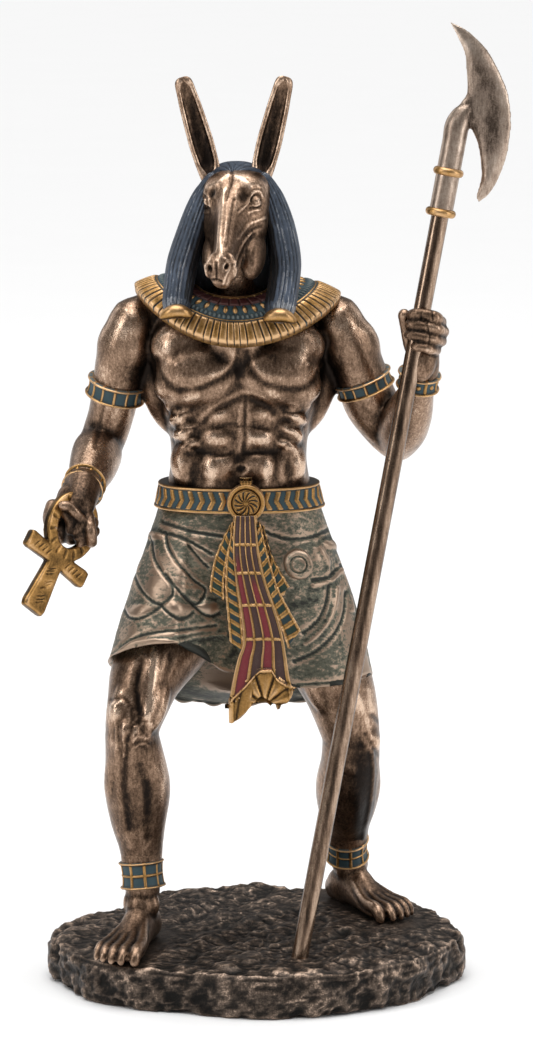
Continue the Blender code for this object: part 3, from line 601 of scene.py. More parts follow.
class Form:
    """One piece's mesh: its points in mm above the soles, and the relief worked into them."""

    def __init__(self, mesh: bpy.types.Mesh) -> None:
        """Takes a mesh whose coordinates are in mm.

        Args:
            mesh: The mesh.
        """
        self.mesh = mesh
        count = len(mesh.vertices)
        flat = np.empty(count * 3, np.float32)
        mesh.vertices.foreach_get("co", flat)
        self.points: Array = flat.reshape(-1, 3).astype(float)
        pairs = np.empty(len(mesh.edges) * 2, np.int32)
        mesh.edges.foreach_get("vertices", pairs)
        self.edges: Array = pairs.reshape(-1, 2)
        degree = np.bincount(self.edges.ravel(), minlength=count)
        self.degree: Array = np.maximum(degree, 1)[:, None]
        self.lift: Array = np.zeros(count)
        # Changes to the finish's tone: rubbed edges and random variation, plus painted highlights and painted
        # shade.
        self.rubbed_and_painted_light: Array = np.zeros(count)
        self.masks: dict[str, Array] = {}
        self.look()

    @staticmethod
    def woven(rows: Array, around: bool = False, capped: bool = False, loop: bool = False) -> "Form":
        """Weaves a skin from rows of points.

        Args:
            rows: Points as rows, columns, 3.
            around: Whether each row closes on itself.
            capped: Whether the first and last rows are closed with a face.
            loop: Whether the last row leads back to the first.

        Returns:
            The new form. Its points keep the order of the rows.
        """
        high, wide = rows.shape[:2]
        faces = woven_faces(high, wide, around, loop)
        if capped:
            faces += [list(range(wide))[::-1], list(range((high - 1) * wide, high * wide))]
        mesh = bpy.data.meshes.new("woven")
        mesh.from_pydata(rows.reshape(-1, 3), [], faces)
        outward(mesh)
        return Form(mesh)

    def look(self) -> None:
        """Works out the normals, where each point falls on the photograph, and how far it faces the camera."""
        self.mesh.vertices.foreach_set("co", self.points.astype(np.float32).ravel())
        self.mesh.update()
        flat = np.empty(len(self.points) * 3, np.float32)
        self.mesh.vertex_normals.foreach_get("vector", flat)
        self.normals: Array = flat.reshape(-1, 3).astype(float)
        self.pixels: Array = PHOTO.project(self.points)
        self.facing: Array = rounded_ramp(self.normals @ PHOTO.toward(), 0.02, 0.35)

    def blurred(self, values: Array, rounds: int) -> Array:
        """Evens out values over the mesh.

        Args:
            values: One row for each point.
            rounds: How often each point moves halfway to its neighbours' mean.

        Returns:
            The evened values.
        """
        first, second = self.edges.T
        count = len(self.points)
        work = values.reshape(count, -1)
        for _ in range(rounds):
            total = np.stack([
                np.bincount(first, column[second], count) + np.bincount(second, column[first], count)
                for column in work.T
            ], axis=1)
            work = 0.5 * work + 0.5 * total / self.degree
        return work.reshape(values.shape)

    def soften(self, rounds: int) -> "Form":
        """Smooths the skin.

        Args:
            rounds: How many times each point moves to the middle of its neighbours.

        Returns:
            The form itself.
        """
        self.points = self.blurred(self.points, rounds)
        self.look()
        return self

    def push(self, amount: Array) -> "Form":
        """Moves the points out along their normals, in mm, besides what is drawn.

        Args:
            amount: Distance for each point.

        Returns:
            The form itself.
        """
        self.points = self.points + self.normals * (amount + self.lift)[:, None]
        self.lift = np.zeros(len(self.points))
        self.look()
        return self

    def calm(self, rounds: int) -> "Form":
        """Smooths the skin where it faces away from the camera.

        Args:
            rounds: How many times each point moves to the middle of its neighbours.

        Returns:
            The form itself.
        """
        behind = rounded_ramp(-(self.normals @ PHOTO.toward()), 0.0, 0.4)[:, None]
        self.points = self.points + (self.blurred(self.points, rounds) - self.points) * behind
        self.look()
        return self

    def away(self, line: Array) -> Array:
        """How far each point is from a line on the photograph, in pixels.

        Args:
            line: Corners of the line.

        Returns:
            A distance for each point.
        """
        best = np.full(len(self.points), 1e9)
        for start, end in zip(line[:-1], line[1:]):
            way = end - start
            share = np.clip(((self.pixels - start) @ way) / max(way @ way, 1e-9), 0, 1)
            best = np.minimum(best, np.linalg.norm(self.pixels - start - share[:, None] * way, axis=1))
        return best

    def carve(self, plan: str, corner: tuple[float, float] = (0, 0), zoom: float = 1) -> "Form":
        """Works what is drawn over the photograph into the skin and its finish.

        Args:
            plan: Marks such as "draw 0.3 2 | 10,20 30,40". draw raises lines by a height in mm and has half
            their width in pixels, and rub paints highlights along lines. swell raises ovals, each with
            its middle, two radii in pixels and turn in degrees, and dab paints highlights on them. A number
            below 0 cuts in or paints shade. What rub and dab paint lies only where the skin faces the
            camera: mostly painted highlights and painted shade, partly rubbed bronze.
            corner: Where the enlarged view starts on which the places were measured, in pixels.
            zoom: How much it was enlarged.

        Returns:
            The form itself.
        """
        for kind, rest in re.findall("([a-z]+)([^a-z]+)", plan):
            head, *strokes = rest.split("|")
            amount, *width = (float(number) for number in head.split())
            worked = self.rubbed_and_painted_light if kind in ("rub", "dab") else self.lift
            for stroke in strokes:
                marks = [(corner[0] + x / zoom, corner[1] + y / zoom, *more) for x, y, *more in table(stroke)]
                if width:
                    line = smooth_path(marks, len(marks) * 4) if len(marks) > 2 else np.array(marks)
                    worked += amount * np.exp(-(self.away(line) / width[0]) ** 2) * self.facing
                    continue
                for u, v, wide, tall, turn in marks:
                    c, s = math.cos(math.radians(turn)), math.sin(math.radians(turn))
                    across, down = self.pixels[:, 0] - u, self.pixels[:, 1] - v
                    far = ((across * c + down * s) / wide) ** 2 + ((down * c - across * s) / tall) ** 2
                    worked += amount * np.exp(-1.1 * far ** 1.5) * self.facing
        return self

    def paint(self, name: str, values: Array) -> "Form":
        """Keeps a number for each point, for the material."""
        self.masks[name] = values
        return self

    def model_relief(self, gain: float) -> Array:
        """How far each point stands out: 0 in hollows, 0.5 on even ground and 1 on edges.

        Args:
            gain: How strongly hollows and edges differ.

        Returns:
            A value for each point.
        """
        near = self.blurred(self.points, 3)
        far = self.blurred(near, 17)
        form = self.blurred(far, 51)
        sharp = ((self.points - near) * self.normals).sum(axis=1)
        wide = ((near - far) * self.normals).sum(axis=1)
        whole = ((far - form) * self.normals).sum(axis=1)
        return np.clip(0.5 + gain * (np.tanh(sharp / 0.07) * 0.22 + np.tanh(wide / 0.45) * 0.15
                                     + np.tanh(whole / 1.2) * 0.08), 0, 1)

    def piece(self, name: str, finish: Finish, *nodes: str, gain: float = 1.0,
              bias: float = 0.0) -> bpy.types.Object:
        """Turns the form into a piece of the scene.

        Args:
            name: The piece's name.
            finish: Its finish.
            *nodes: The solids that it stands for.
            gain: Strengthens the relief that the finish reads.
            bias: Moves it towards bright.

        Returns:
            The piece, riding on the one body.
        """
        if "relief" not in self.masks:
            # The relief mask: patina from the skin's hollows and edges, plus the painted highlights and painted
            # shade laid on the form.
            self.masks["relief"] = np.clip(self.model_relief(gain) + bias + self.rubbed_and_painted_light, 0, 1)
        if isinstance(finish.value, Enamel):
            self.masks = {"gold": np.ones(len(self.points)), "tint": np.zeros(len(self.points)), **self.masks}
        placed = (self.points + UP * LIFT) * MM
        self.mesh.vertices.foreach_set("co", placed.astype(np.float32).ravel())
        self.mesh.polygons.foreach_set("use_smooth", np.ones(len(self.mesh.polygons), bool))
        for label, values in self.masks.items():
            kept = self.mesh.attributes.new(label, "FLOAT", "POINT")
            kept.data.foreach_set("value", values.astype(np.float32))
        self.mesh.update()
        self.mesh.name = name
        made = bpy.data.objects.new(name, self.mesh)
        bpy.context.scene.collection.objects.link(made)
        made.data.materials.append(finish.material())
        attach(made, "root")
        if nodes:
            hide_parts(*nodes)
        LOG.info("%s: %d faces", name, len(self.mesh.polygons))
        return made


class Clay:
    """Overlapping closed shells, which merge into one skin."""

    def __init__(self) -> None:
        """Starts with nothing."""
        self.points: list[Array] = []
        self.faces: list[list[int]] = []
        self.count = 0

    def shell(self, rings: Array, loop: bool = False) -> None:
        """Adds rings of points, closed with a face at both ends or led back to the first ring.

        Args:
            rings: The points, as rings, points, 3.
            loop: Leads the last ring back to the first.
        """
        high, wide = rings.shape[:2]
        faces = woven_faces(high, wide, loop=loop)
        if not loop:
            faces += [list(range(wide))[::-1], list(range((high - 1) * wide, high * wide))]
        self.faces += [[self.count + corner for corner in face] for face in faces]
        self.points.append(rings.reshape(-1, 3))
        self.count += high * wide

    def limb(self, stations: Sequence, reference: Array = BACK, sides: int = 28, steps: int = 5) -> None:
        """Adds a bent tube with round ends.

        Args:
            stations: Rows of x, y, z, half width and half depth.
            reference: Where the section's depth points, roughly.
            sides: Points in a section.
            steps: Sections between two stations.
        """
        path = smooth_path(stations, (len(stations) - 1) * steps + 1)
        self.shell(limb_rows(path, reference, sides))

    def ball(self, centre: Array, radii: Sequence[float], aim: Sequence[float] = (0, 0, 1),
             turn: float = 0.0) -> None:
        """Adds an ellipsoid whose third radius lies along aim.

        Args:
            centre: Its middle.
            radii: Its three radii.
            aim: Where its own third axis points.
            turn: Rolls it about aim, in degrees.
        """
        tilt = Vector(aim).to_track_quat("Z", "Y").to_matrix().to_4x4()
        frame = np.array((tilt @ Matrix.Rotation(math.radians(turn), 4, "Z")).to_3x3())
        lat = np.linspace(-math.pi / 2 + 0.06, math.pi / 2 - 0.06, 17)[:, None]
        lon = circle(28)[None, :]
        unit_ball = np.stack([np.cos(lat) * np.cos(lon), np.cos(lat) * np.sin(lon),
                              np.sin(lat) + 0 * lon], axis=-1) * np.asarray(radii, float)
        self.shell(unit_ball @ frame.T + np.asarray(centre, float))

    def merged(self, grain: float, soften: int = 2) -> Form:
        """Joins the shells into one even skin.

        Args:
            grain: Edge of the cells that they are merged on, in mm.
            soften: Rounds of smoothing.

        Returns:
            The skin.
        """
        mesh = bpy.data.meshes.new("clay")
        mesh.from_pydata(np.concatenate(self.points), [], self.faces)
        outward(mesh)
        made = bpy.data.objects.new("clay", mesh)
        bpy.context.scene.collection.objects.link(made)
        step = made.modifiers.new("merge", "REMESH")
        step.mode = "VOXEL"
        step.voxel_size = grain
        bpy.context.view_layer.update()
        found = made.evaluated_get(bpy.context.evaluated_depsgraph_get())
        merged = bpy.data.meshes.new_from_object(found)
        bpy.data.objects.remove(made)
        bpy.data.meshes.remove(mesh)
        return Form(merged).soften(soften)


def column_rows(path: Array, sides: int, square: float = 2.3) -> Array:
    """Level rounded sections along rows of z, x, y, half width and half depth.

    Args:
        path: The rows.
        sides: Points in a section.
        square: 2 for an ellipse, more for a squarer one.

    Returns:
        The sections, as rings, points, 3.
    """
    turn = circle(sides)
    c, s = np.cos(turn), np.sin(turn)
    across = np.sign(c) * np.abs(c) ** (2 / square)
    along = np.sign(s) * np.abs(s) ** (2 / square)
    z, x, y, wide, deep = (path[:, k, None] for k in range(5))
    return np.stack([x + wide * across, y + deep * along, z + 0 * across], axis=-1)


def limb_rows(path: Array, reference: Array, sides: int) -> Array:
    """Sections of a bent tube with round ends, along rows of x, y, z, half width and half depth.

    Args:
        path: The rows.
        reference: A direction that the tube never follows.
        sides: Points in a section.

    Returns:
        The sections, as rings, points, 3.
    """
    centre = path[:, :3]
    along = unit(np.gradient(centre, axis=0))
    side = unit(np.cross(along, reference))
    front = np.cross(side, along)
    last = len(path) - 1
    plan = [(0, -0.97, 0.2), (0, -0.85, 0.5), (0, -0.5, 0.85)] + [(k, 0.0, 1.0) for k in range(last + 1)]
    plan += [(last, 0.5, 0.85), (last, 0.85, 0.5), (last, 0.97, 0.2)]
    turn = circle(sides)
    rows = []
    for k, ahead, narrow in plan:
        wide, deep = path[k, 3], path[k, 4]
        middle = centre[k] + along[k] * ahead * min(wide, deep)
        rows.append(middle + np.outer(np.cos(turn), side[k]) * wide * narrow
                    + np.outer(np.sin(turn), front[k]) * deep * narrow)
    return np.array(rows)


def slab(front: Array, thick: float) -> Array:
    """Rows of closed sections for a plate whose front is given, as rows, columns, 3.

    Args:
        front: Points of the front.
        thick: Thickness behind the front.

    Returns:
        The sections, as rings, points, 3.
    """
    down = np.gradient(front, axis=0)
    across = np.gradient(front, axis=1)
    out = unit(np.cross(down, across))
    if out[..., 1].mean() > 0:
        out = -out
    return np.concatenate([front, (front - out * thick)[:, ::-1]], axis=1)


# The figure


RIGHT_UPPER_ARM = table("-35.5,6,185,7.2,8.4 -38,7,176.5,8,9.2 -40.2,8.8,166,7.5,8.4 "
                        "-42.1,10.6,157,6.9,7.6 -44.2,12.6,150,6.9,6.9 -45.9,13.8,146,6.4,6.4")
RIGHT_FOREARM = table("-45.9,13.8,146,6.4,6.6 -46.5,7,144.6,8.2,7.6 -47.6,-1,142,7.8,7 "
                      "-49.2,-8.5,139.2,6.2,5.8 -50.6,-14.5,136.4,5.6,5")
LEFT_UPPER_ARM = table("25.6,6,185.5,7.2,8.4 29.2,6.5,177,7.8,9.2 32.8,8,167.5,8,8.6 35.4,9,160.3,8.2,8 "
                       "39.8,10,153,7.4,7 43.4,10,148.4,6.5,6.5")
LEFT_FOREARM = table("43.4,10,148.4,6.5,6.6 44.8,4.5,153,7.7,7.6 46.6,-2,158.5,7.2,7 "
                     "48.2,-8.5,164.5,5.6,5.6 49.2,-12,168.2,4.7,4.5")
RIGHT_WRIST, RIGHT_FIST = vec(-49.9, -13, 138.4), vec(-53.4, -19, 131.4)
LEFT_WRIST = vec(49.5, -13, 169.5)
SHAFT_FOOT, GRIP = vec(14, -32.4, -0.3), vec(47.8, -19, 181)
SHAFT_LINE = unit(GRIP - SHAFT_FOOT)
SHAFT_RADIUS = 2.6
ANKH_RISE = unit(vec(0.393, 0.49, 0.778))


TORSO_MASSES = table("11.8,-5.6,171,12.8,6.6,10.2,0,8 16.5,-3.7,167,8.5,6.5,6.6,0,0 "
                     "20.2,7,165,5.6,9,16,0.3,0 11.5,13.2,171,12,7,18,0.2,0 13,15.2,179,11,5.2,10,0,0 "
                     "6.2,12.4,148,6.5,5.4,24,0,0 13.2,-0.8,142.5,6.2,7,9,0.3,0 "
                     "13.5,-2.4,178.5,12.5,7,9,0,0")
# The rub and dab marks here are painted highlights and painted shade: shade between and under the pectorals, in
# the armpits and between the belly's muscles, highlights on shoulders, chest and belly. draw and swell shape
# the skin.
TORSO_CARVING = """
draw -0.4 3.4 | 237.5,350 235,366 220,379 196,389 174,388 160,372 156,360 | 248,352 250,367 262,382 287,389
  308,386 319,372
draw 0.12 3.6 | 234,352 232,363 218,372 196,379 178,377 | 251,354 254,364 266,374 287,379 304,377
rub 0.05 3.2 | 234,350 232,362 218,371 200,377 | 253,362 266,373 287,378
rub -0.16 3.6 | 236,372 220,383 196,392 172,391 158,376 | 250,373 262,386 287,392 310,389 320,374
swell -0.18 | 216,359,11,8,-20 274,358,12,8,20
dab -0.14 | 216,360,10,8,-20 274,358,10,8,20 243,374,12,6,0
rub -0.34 3.6 | 242.5,345 243,356 243,374
swell 0.4 | 167,353,8,12,10 302,356,9,10,-10
dab 0.14 | 167,352,7,12,10 304,354,9,9,-10
swell 0.45 | 176.6,364.5,2.2,2,0 307,364.5,2.2,2,0
dab -0.26 | 334,368,14,34,0 137,376,15,20,20
draw 0.15 2.8 | 200,418 209,408.5 230,397 245,391.5 264,398 276.5,407.5 281,415
rub 0.08 2.4 | 209,408.5 230,397 245,391.5 264,398
draw -0.34 3.2 | 204,422 213,413 232,402.5 245,398.5 262,404 273,413
swell 0.45 | 191,396,10,8,-25 276,393,9,7,25
dab 0.13 | 190,396,11,8,-25 272,392,9,6,25
draw -0.32 1.8 | 244.5,398 245.5,411 244.2,425 245,438 243.6,452
draw 0.12 1.8 | 239.5,410 239.8,448 | 249.2,406 249.2,448
draw -0.26 2.2 | 219,427 229,424.5 240.5,426 | 248.4,425.5 258,427 268,430 | 169,439 187.5,446 209,454 222,456
  233,452 | 247,453.5 272,452.5 288,445
rub -0.2 2.4 | 187.5,446 209,454 222,455.5 | 248,453.5 272,452
swell 0.28 | 220,417,14,7,-12 264,415,13,8,10 217,439.5,17,9,8 263,440,14,8,-4
dab 0.09 | 208,434,9,7,0 268,418,8,9,0 216,444,12,6,10 270,438,8,7,0
dab -0.12 | 230,437,6,8,0 231,414,5,8,0 254,414,5,8,0
swell 0.5 | 178,466,6,15,4 210,476,7,15,-4 268,472,6,14,4 300,466,6,15,-6
swell -0.45 | 194,474,6,14,6 289,472,5,13,-6
dab 0.15 | 178,466,5,14,4 209,476,6,14,-4 268,474,5,13,4 300,466,5,14,-6
dab -0.26 | 193,473,6,14,6 288,471,5,12,-6 241,458,10,6,0 236,484,10,7,0 256,478,6,12,0 185,452,10,4,15
swell 0.42 | 166.5,411,3,6,-12 181.5,422,6.5,3.6,12 183,437,9,4,14 294,406,8,4.5,24 297,419,6,4.5,24
  299,438,4.5,5,0
dab 0.14 | 181.5,421,6,3,12 182,436,8,3.4,14 294,405,8,4,24 298,419,6,4,24
draw -0.4 1.7 | 172,415 182,414 192,410 | 171,429 183,430 194,429 | 284,412 292,413 303,412 | 290,427 298,428
  304,426
swell -0.42 | 241.6,468.5,4.4,3.8,0
dab -0.16 | 241.6,468.5,4.2,4,0
dab 0.12 | 112,336,8,16,18 125,330,10,10,0 352,330,12,14,-20 104,372,6,8,0
draw -0.3 3 | 132,398 134,425 128,448 | 104,400 100,424 96,446 | 345,412 356,432 372,446
"""


@dataclass
class Body:
    """Torso, neck and arms."""

    grain: float = 0.82
    middle: float = -4.2

    def clay(self) -> Form:
        """The masses of chest, belly, back, neck and arms."""
        clay = Clay()
        trunk = table("122,-3.6,5.6,22.6,14 130,-3.8,5,22.2,13.4 137,-4,5,21.2,12.8 145,-4,5,20.2,12.2 "
                      "154,-4,5,21.2,13.2 161,-4,5.3,23.4,14.2 170,-4.2,5.6,25.6,15 179,-4.8,6,26.6,14.6 "
                      "186,-5,6.5,24.5,13 191,-5,7,19,11 196,-5,7,11,9")
        clay.shell(column_rows(smooth_path(trunk, 61), 72))
        for side in (-1, 1):
            m = self.middle
            for off, y, z, wide, deep, tall, lean, turn in TORSO_MASSES:
                clay.ball((m + side * off, y, z), (wide, deep, tall), (side * lean, 0, 1), side * turn)
            for row, (drop, wide, tall) in enumerate(table("159.6,5.2,3.5 152.2,5.2,3.6 143.2,5.3,5.4")):
                clay.ball((m + side * 5.4, -6.2 + 0.2 * row, drop), (wide, 3.0, tall))
            for row in range(4):
                clay.ball((m + side * (17.4 - row * 1.1), -3.4, 162.4 - row * 4.6),
                          (4.6, 5, 2.2), aim=(side * 0.5, 0.4, 1))
            clay.limb([(-5, 6, 199, 6, 6), (m + side * 16, 8, 191, 6.5, 6),
                       (m + side * 29, 7, 187.2, 5.5, 6.5)])
        clay.limb(table("-5,7,188,10,9 -5.2,3,199,8,8 -5.5,-1,211,8.5,9"))
        clay.ball((-4.8, -6.5, 180), (9, 5.5, 7))
        for upper, fore, outside in ((RIGHT_UPPER_ARM, RIGHT_FOREARM, -1), (LEFT_UPPER_ARM, LEFT_FOREARM, 1)):
            self.arm(clay, upper, fore, outside)
        return clay.merged(self.grain, 5)

    @staticmethod
    def arm(clay: Clay, upper: Sequence, fore: Sequence, outside: int) -> None:
        """Adds an arm with its muscles.

        Args:
            clay: What it is added to.
            upper: The upper arm's stations.
            fore: The forearm's stations.
            outside: -1 for the right arm, 1 for the left.
        """
        clay.limb(upper)
        clay.limb(fore, reference=RIGHTWARDS)
        shoulder, low = vec(*upper[1][:3]), vec(*upper[4][:3])
        line = low - shoulder
        clay.ball(shoulder + vec(outside * 0.4, -1.5, 0.5), (7.2, 8.6, 10.5), aim=line)
        clay.ball(shoulder + line * 0.58 + vec(-outside * 0.8, -3.6, 0), (5.2, 4.8, 10.5), aim=line)
        clay.ball(shoulder + line * 0.5 + vec(outside * 0.8, 3.8, 0), (5.6, 5.2, 12), aim=line)
        reach = vec(*fore[3][:3]) - vec(*fore[0][:3])
        clay.ball(vec(*fore[1][:3]) + vec(outside * 1.2, 0, 1.6) + reach * 0.08, (5.4, 5.0, 10), aim=reach)

    def carved(self) -> Form:
        """The masses with the carving that the photograph shows."""
        form = self.clay().calm(36)
        spine = (np.exp(-((form.points[:, 0] - self.middle) / 2.8) ** 2)
                 * rounded_ramp(form.normals[:, 1], 0.3, 0.8))
        form.push(-1.0 * spine)
        form.carve(TORSO_CARVING)
        ring = (f"{241.6 + 5.6 * math.cos(a)},{469 + 5.0 * math.sin(a)}" for a in np.linspace(0, math.tau, 13))
        form.carve("draw 0.16 2.2 | " + " ".join(ring))
        form.push(0.1 * uneven(form.points, 7.0, 3, 3)
                  + 0.035 * uneven(form.points * vec(1, 1, 0.4), 1.6, 8, 2))
        return form

    def build(self) -> None:
        """Makes the piece."""
        self.carved().piece("torso_and_arms", Finish.SKIN, "figure", gain=1.0)


# The rub and dab marks here are painted highlights and painted shade: shade down the shins and inside the
# knees, highlights along thighs, knees and shins. draw and swell shape the legs.
LEG_CARVING = """
draw -0.6 4.4 | 142,662 136,690 136,708
draw -0.3 3.6 | 170,655 163,690 153,722
draw 0.6 4.4 | 155,650 151,690 146,715
swell 0.6 | 112,713,7,14,6 146,737,7,6,0
draw -0.4 2.4 | 112,700 122,697 130,706 133,722 128,740 | 138,696 140,712 137,724
draw 0.35 1 | 134,722 139,717 146,719 | 137,728 143,723 151,724 | 133,742 138,736 146,738 150,733 | 134,748
  140,744 148,745 | 115,706 121,702 128,708 | 146,712 149,722 | 116,722 117,750 | 123,724 124,756
draw 0.3 4 | 116,745 118,780 124,820 131,846
draw -0.35 4.4 | 126,750 124,790 128,828 | 140,765 147,800 148,838
swell 0.6 | 157,780,8,18,-8 108,778,6,18,4
draw -0.45 3 | 373,715 384,726 392,742 388,756 | 366,735 376,752 388,760
draw 0.6 3 | 378,690 386,715 391,733
swell 0.8 | 372,742,9,9,0 352,800,12,22,0 391,790,5,20,0
draw -0.6 2.6 | 384,768 379,795 381,830
rub 0.16 4 | 154,652 152,680 146,712
rub 0.14 4.5 | 163,752 164,780 160,804 | 392,745 394,775 388,820
rub -0.3 5 | 138,672 138,695 140,714
rub -0.22 3.4 | 149,783 148,797 150,812 | 130,722 127,742
rub -0.14 7 | 128,798 130,826 | 120,655 126,690
rub 0.12 2.4 | 112,702 110,715 112,745 | 158,752 163,775 161,803
rub -0.34 9 | 362,745 358,800 360,838
rub -0.2 7 | 340,700 348,740 | 372,756 372,800 368,838
dab 0.16 | 113,714,8,12,8 372,742,9,9,0
dab 0.12 | 130,690,22,34,8 364,705,14,30,0 155,690,8,30,8
dab -0.2 | 140,805,26,52,0 356,800,20,56,0
draw 0.45 2 | 372,752 373,775 370,805 363,838
rub 0.22 2.6 | 378,742 379,770 378,800 370,828 | 356,684 362,706 370,730 | 368,690 372,712
"""


@dataclass
class Legs:
    """The two legs down to the ankles, and the feet."""

    grain: float = 0.75
    foot_grain: float = 0.54
    right_thigh: Sequence = table("-15,5,104,12.4,14 -22.5,-2,93,12.8,13.4 -30.8,-10,82,11.2,12 "
                                  "-33.8,-15,73.5,9.4,10.2 -36,-18.5,65.5,7.8,8.6")
    right_shin: Sequence = table("-36,-18.5,65.5,7.8,8.6 -34.8,-17,56,9,9 -34.2,-15,47,9.9,9.6 "
                                 "-34,-13.5,37.5,8.5,8.6 -33.2,-13,27.5,6.4,6.6 -32.8,-14.5,15,5.1,5.8")
    left_thigh: Sequence = table("9,5.5,104,11.4,12.2 14.5,6.4,95,12,11.6 20.5,7.6,84,11.8,11.8 "
                                 "26.2,8.5,72.5,10.8,11.4 30,9,58,8.8,9.2")
    left_shin: Sequence = table("30,9,58,8.8,9.2 29.7,12,49.5,8.9,9.4 29.2,16.5,41.5,9.9,9.8 "
                                "28.9,21,34,9.1,9 28.9,27,25,6.9,7 29.2,31.5,13,5.2,5.8")

    @staticmethod
    def leg(clay: Clay, thigh: Sequence, shin: Sequence) -> None:
        """Adds one leg.

        Args:
            clay: What it is added to.
            thigh: Stations from the hip to the knee.
            shin: Stations from the knee to the ankle.
        """
        clay.limb(thigh, sides=36)
        clay.limb(shin, sides=36)
        front = vec(0, -1, 0)
        knee, calf, mid = vec(*thigh[-1][:3]), vec(*shin[2][:3]), vec(*thigh[-3][:3])
        line = knee - mid
        clay.ball(mid + line * 0.45 + front * 6.5 + vec(4.2, 0, 0), (4.2, 4.4, 10), aim=line)
        clay.ball(mid + line * 0.3 + front * 6.5 - vec(4.2, 0, 0), (4.4, 4.4, 11), aim=line)
        clay.ball(knee + front * 5.8 + UP, (3.9, 3.4, 4.8))
        clay.ball(knee + front * 5.2 - UP * 7, (2.6, 2.6, 4.5))
        lean = vec(*shin[1][:3]) - vec(*shin[3][:3])
        for way in (-1, 1):
            clay.ball(calf - front * 2.8 + RIGHTWARDS * way * 3.4 + unit(lean) * 1.5, (5.0, 5.4, 13), aim=lean)

    @staticmethod
    def foot(clay: Clay, heel: Array, toe: Array, inner: int) -> None:
        """Adds a foot flat on the ground.

        Args:
            clay: What it is added to.
            heel: The heel's back.
            toe: The big toe's tip.
            inner: 1 or -1: the side of the big toe.
        """
        length = float(np.linalg.norm(toe - heel))
        ahead = (toe - heel) / length
        side = unit(np.cross(ahead, UP)) * inner
        profile = table("0.06,3,3.4,4.2 0.18,5,4.6,6 0.34,6,4.7,7 0.5,4.4,5.3,5 0.66,2.9,6.2,3.4 "
                        "0.8,2,6.8,2.3 0.87,1.6,6.6,1.7")
        clay.limb([(*(heel + ahead * share * length + UP * height), wide, tall)
                   for share, height, wide, tall in profile], reference=UP)
        toes = table("5.5,1.75,0.965 2,1.3,1 -0.9,1.22,0.995 -3.6,1.16,0.97 -6,1.1,0.93")
        for across, thick, reach in toes:
            plan = table("0.36,0.28,10.4,0.8 0.52,0.55,7.6,0.85 0.68,0.85,5.4,0.9 0.8,1,4.5,0.98 "
                         "0.91,1.04,4.3,1.05 0.975,1.06,3,1 1,1.06,1.3,0.9")
            clay.limb([(*(heel + ahead * length * share * reach + side * across * spread + UP * height),
                        thick * full, thick * full) for share, spread, height, full in plan], reference=UP,
                        sides=18)
        ankle = heel + ahead * length * 0.3
        clay.ball(ankle + UP * 11.0, (4.9, 5.6, 6.2))
        for way in (-1, 1):
            clay.ball(ankle + side * way * 3.5 + UP * 12.0, (2.2, 2.8, 3.6))

    def build(self) -> None:
        """Makes the pieces."""
        clay = Clay()
        self.leg(clay, self.right_thigh, self.right_shin)
        self.leg(clay, self.left_thigh, self.left_shin)
        form = clay.merged(self.grain, 2).calm(32)
        form.carve(LEG_CARVING)
        form.push(0.1 * uneven(form.points, 8.0, 5, 3)
                  + 0.05 * uneven(form.points * vec(1, 1, 0.25), 1.7, 11, 2))
        form.piece("legs", Finish.SKIN, "figure", gain=1.0)
        for name, heel, toe, inner in (("right_foot", vec(-30, -5, 0), vec(-40.6, -42, 0), -1),
                                       ("left_foot", vec(24.5, 40, 0), vec(44.6, 8, 0), 1)):
            clay = Clay()
            self.foot(clay, heel, toe, inner)
            shin = self.left_shin if inner > 0 else self.right_shin
            clay.limb([shin[4], shin[5]], sides=32)
            form = clay.merged(self.foot_grain, 2)
            form.points[:, 2] = np.maximum(form.points[:, 2], 0.05)
            form.look()
            form.push(0.05 * uneven(form.points, 2.4, 9, 2)
                      + 0.03 * uneven(form.points * vec(1, 0.5, 1), 0.9, 4, 2))
            # The toe tips are painted darker, and painted shade darkens the skin within 4 mm of the soles.
            tip = rounded_ramp((form.points - heel) @ unit(toe - heel) / np.linalg.norm(toe - heel), 0.86, 1.0)
            form.rubbed_and_painted_light -= 0.16 * tip + 0.1 * rounded_ramp(-form.points[:, 2], -4.0, 0.0)
            form.points[:, 2] = np.maximum(form.points[:, 2], 0.05)
            form.piece(name, Finish.HAND, "figure", gain=1.25)


# The rub and dab marks here are painted highlights along fingers and knuckles, and painted shade inside the
# right fist and on the backs of the hands.
HAND_CARVING = """
draw -0.22 1.1 | 432,311 433,320 | 427,323.5 428.5,331 | 430,335 429,343 | 421,313 421,320
dab -0.16 | 418,332,10,20,0 430,316,7,3.4,0
rub 0.14 1.6 | 429,325 438,327 447,331 | 427,338 437,341 444,346 | 429,350 438,354
dab -0.24 | 72,528,15,17,0 84,500,12,12,0
rub 0.2 1 | 70,501 77,510 84,517 90,523
"""


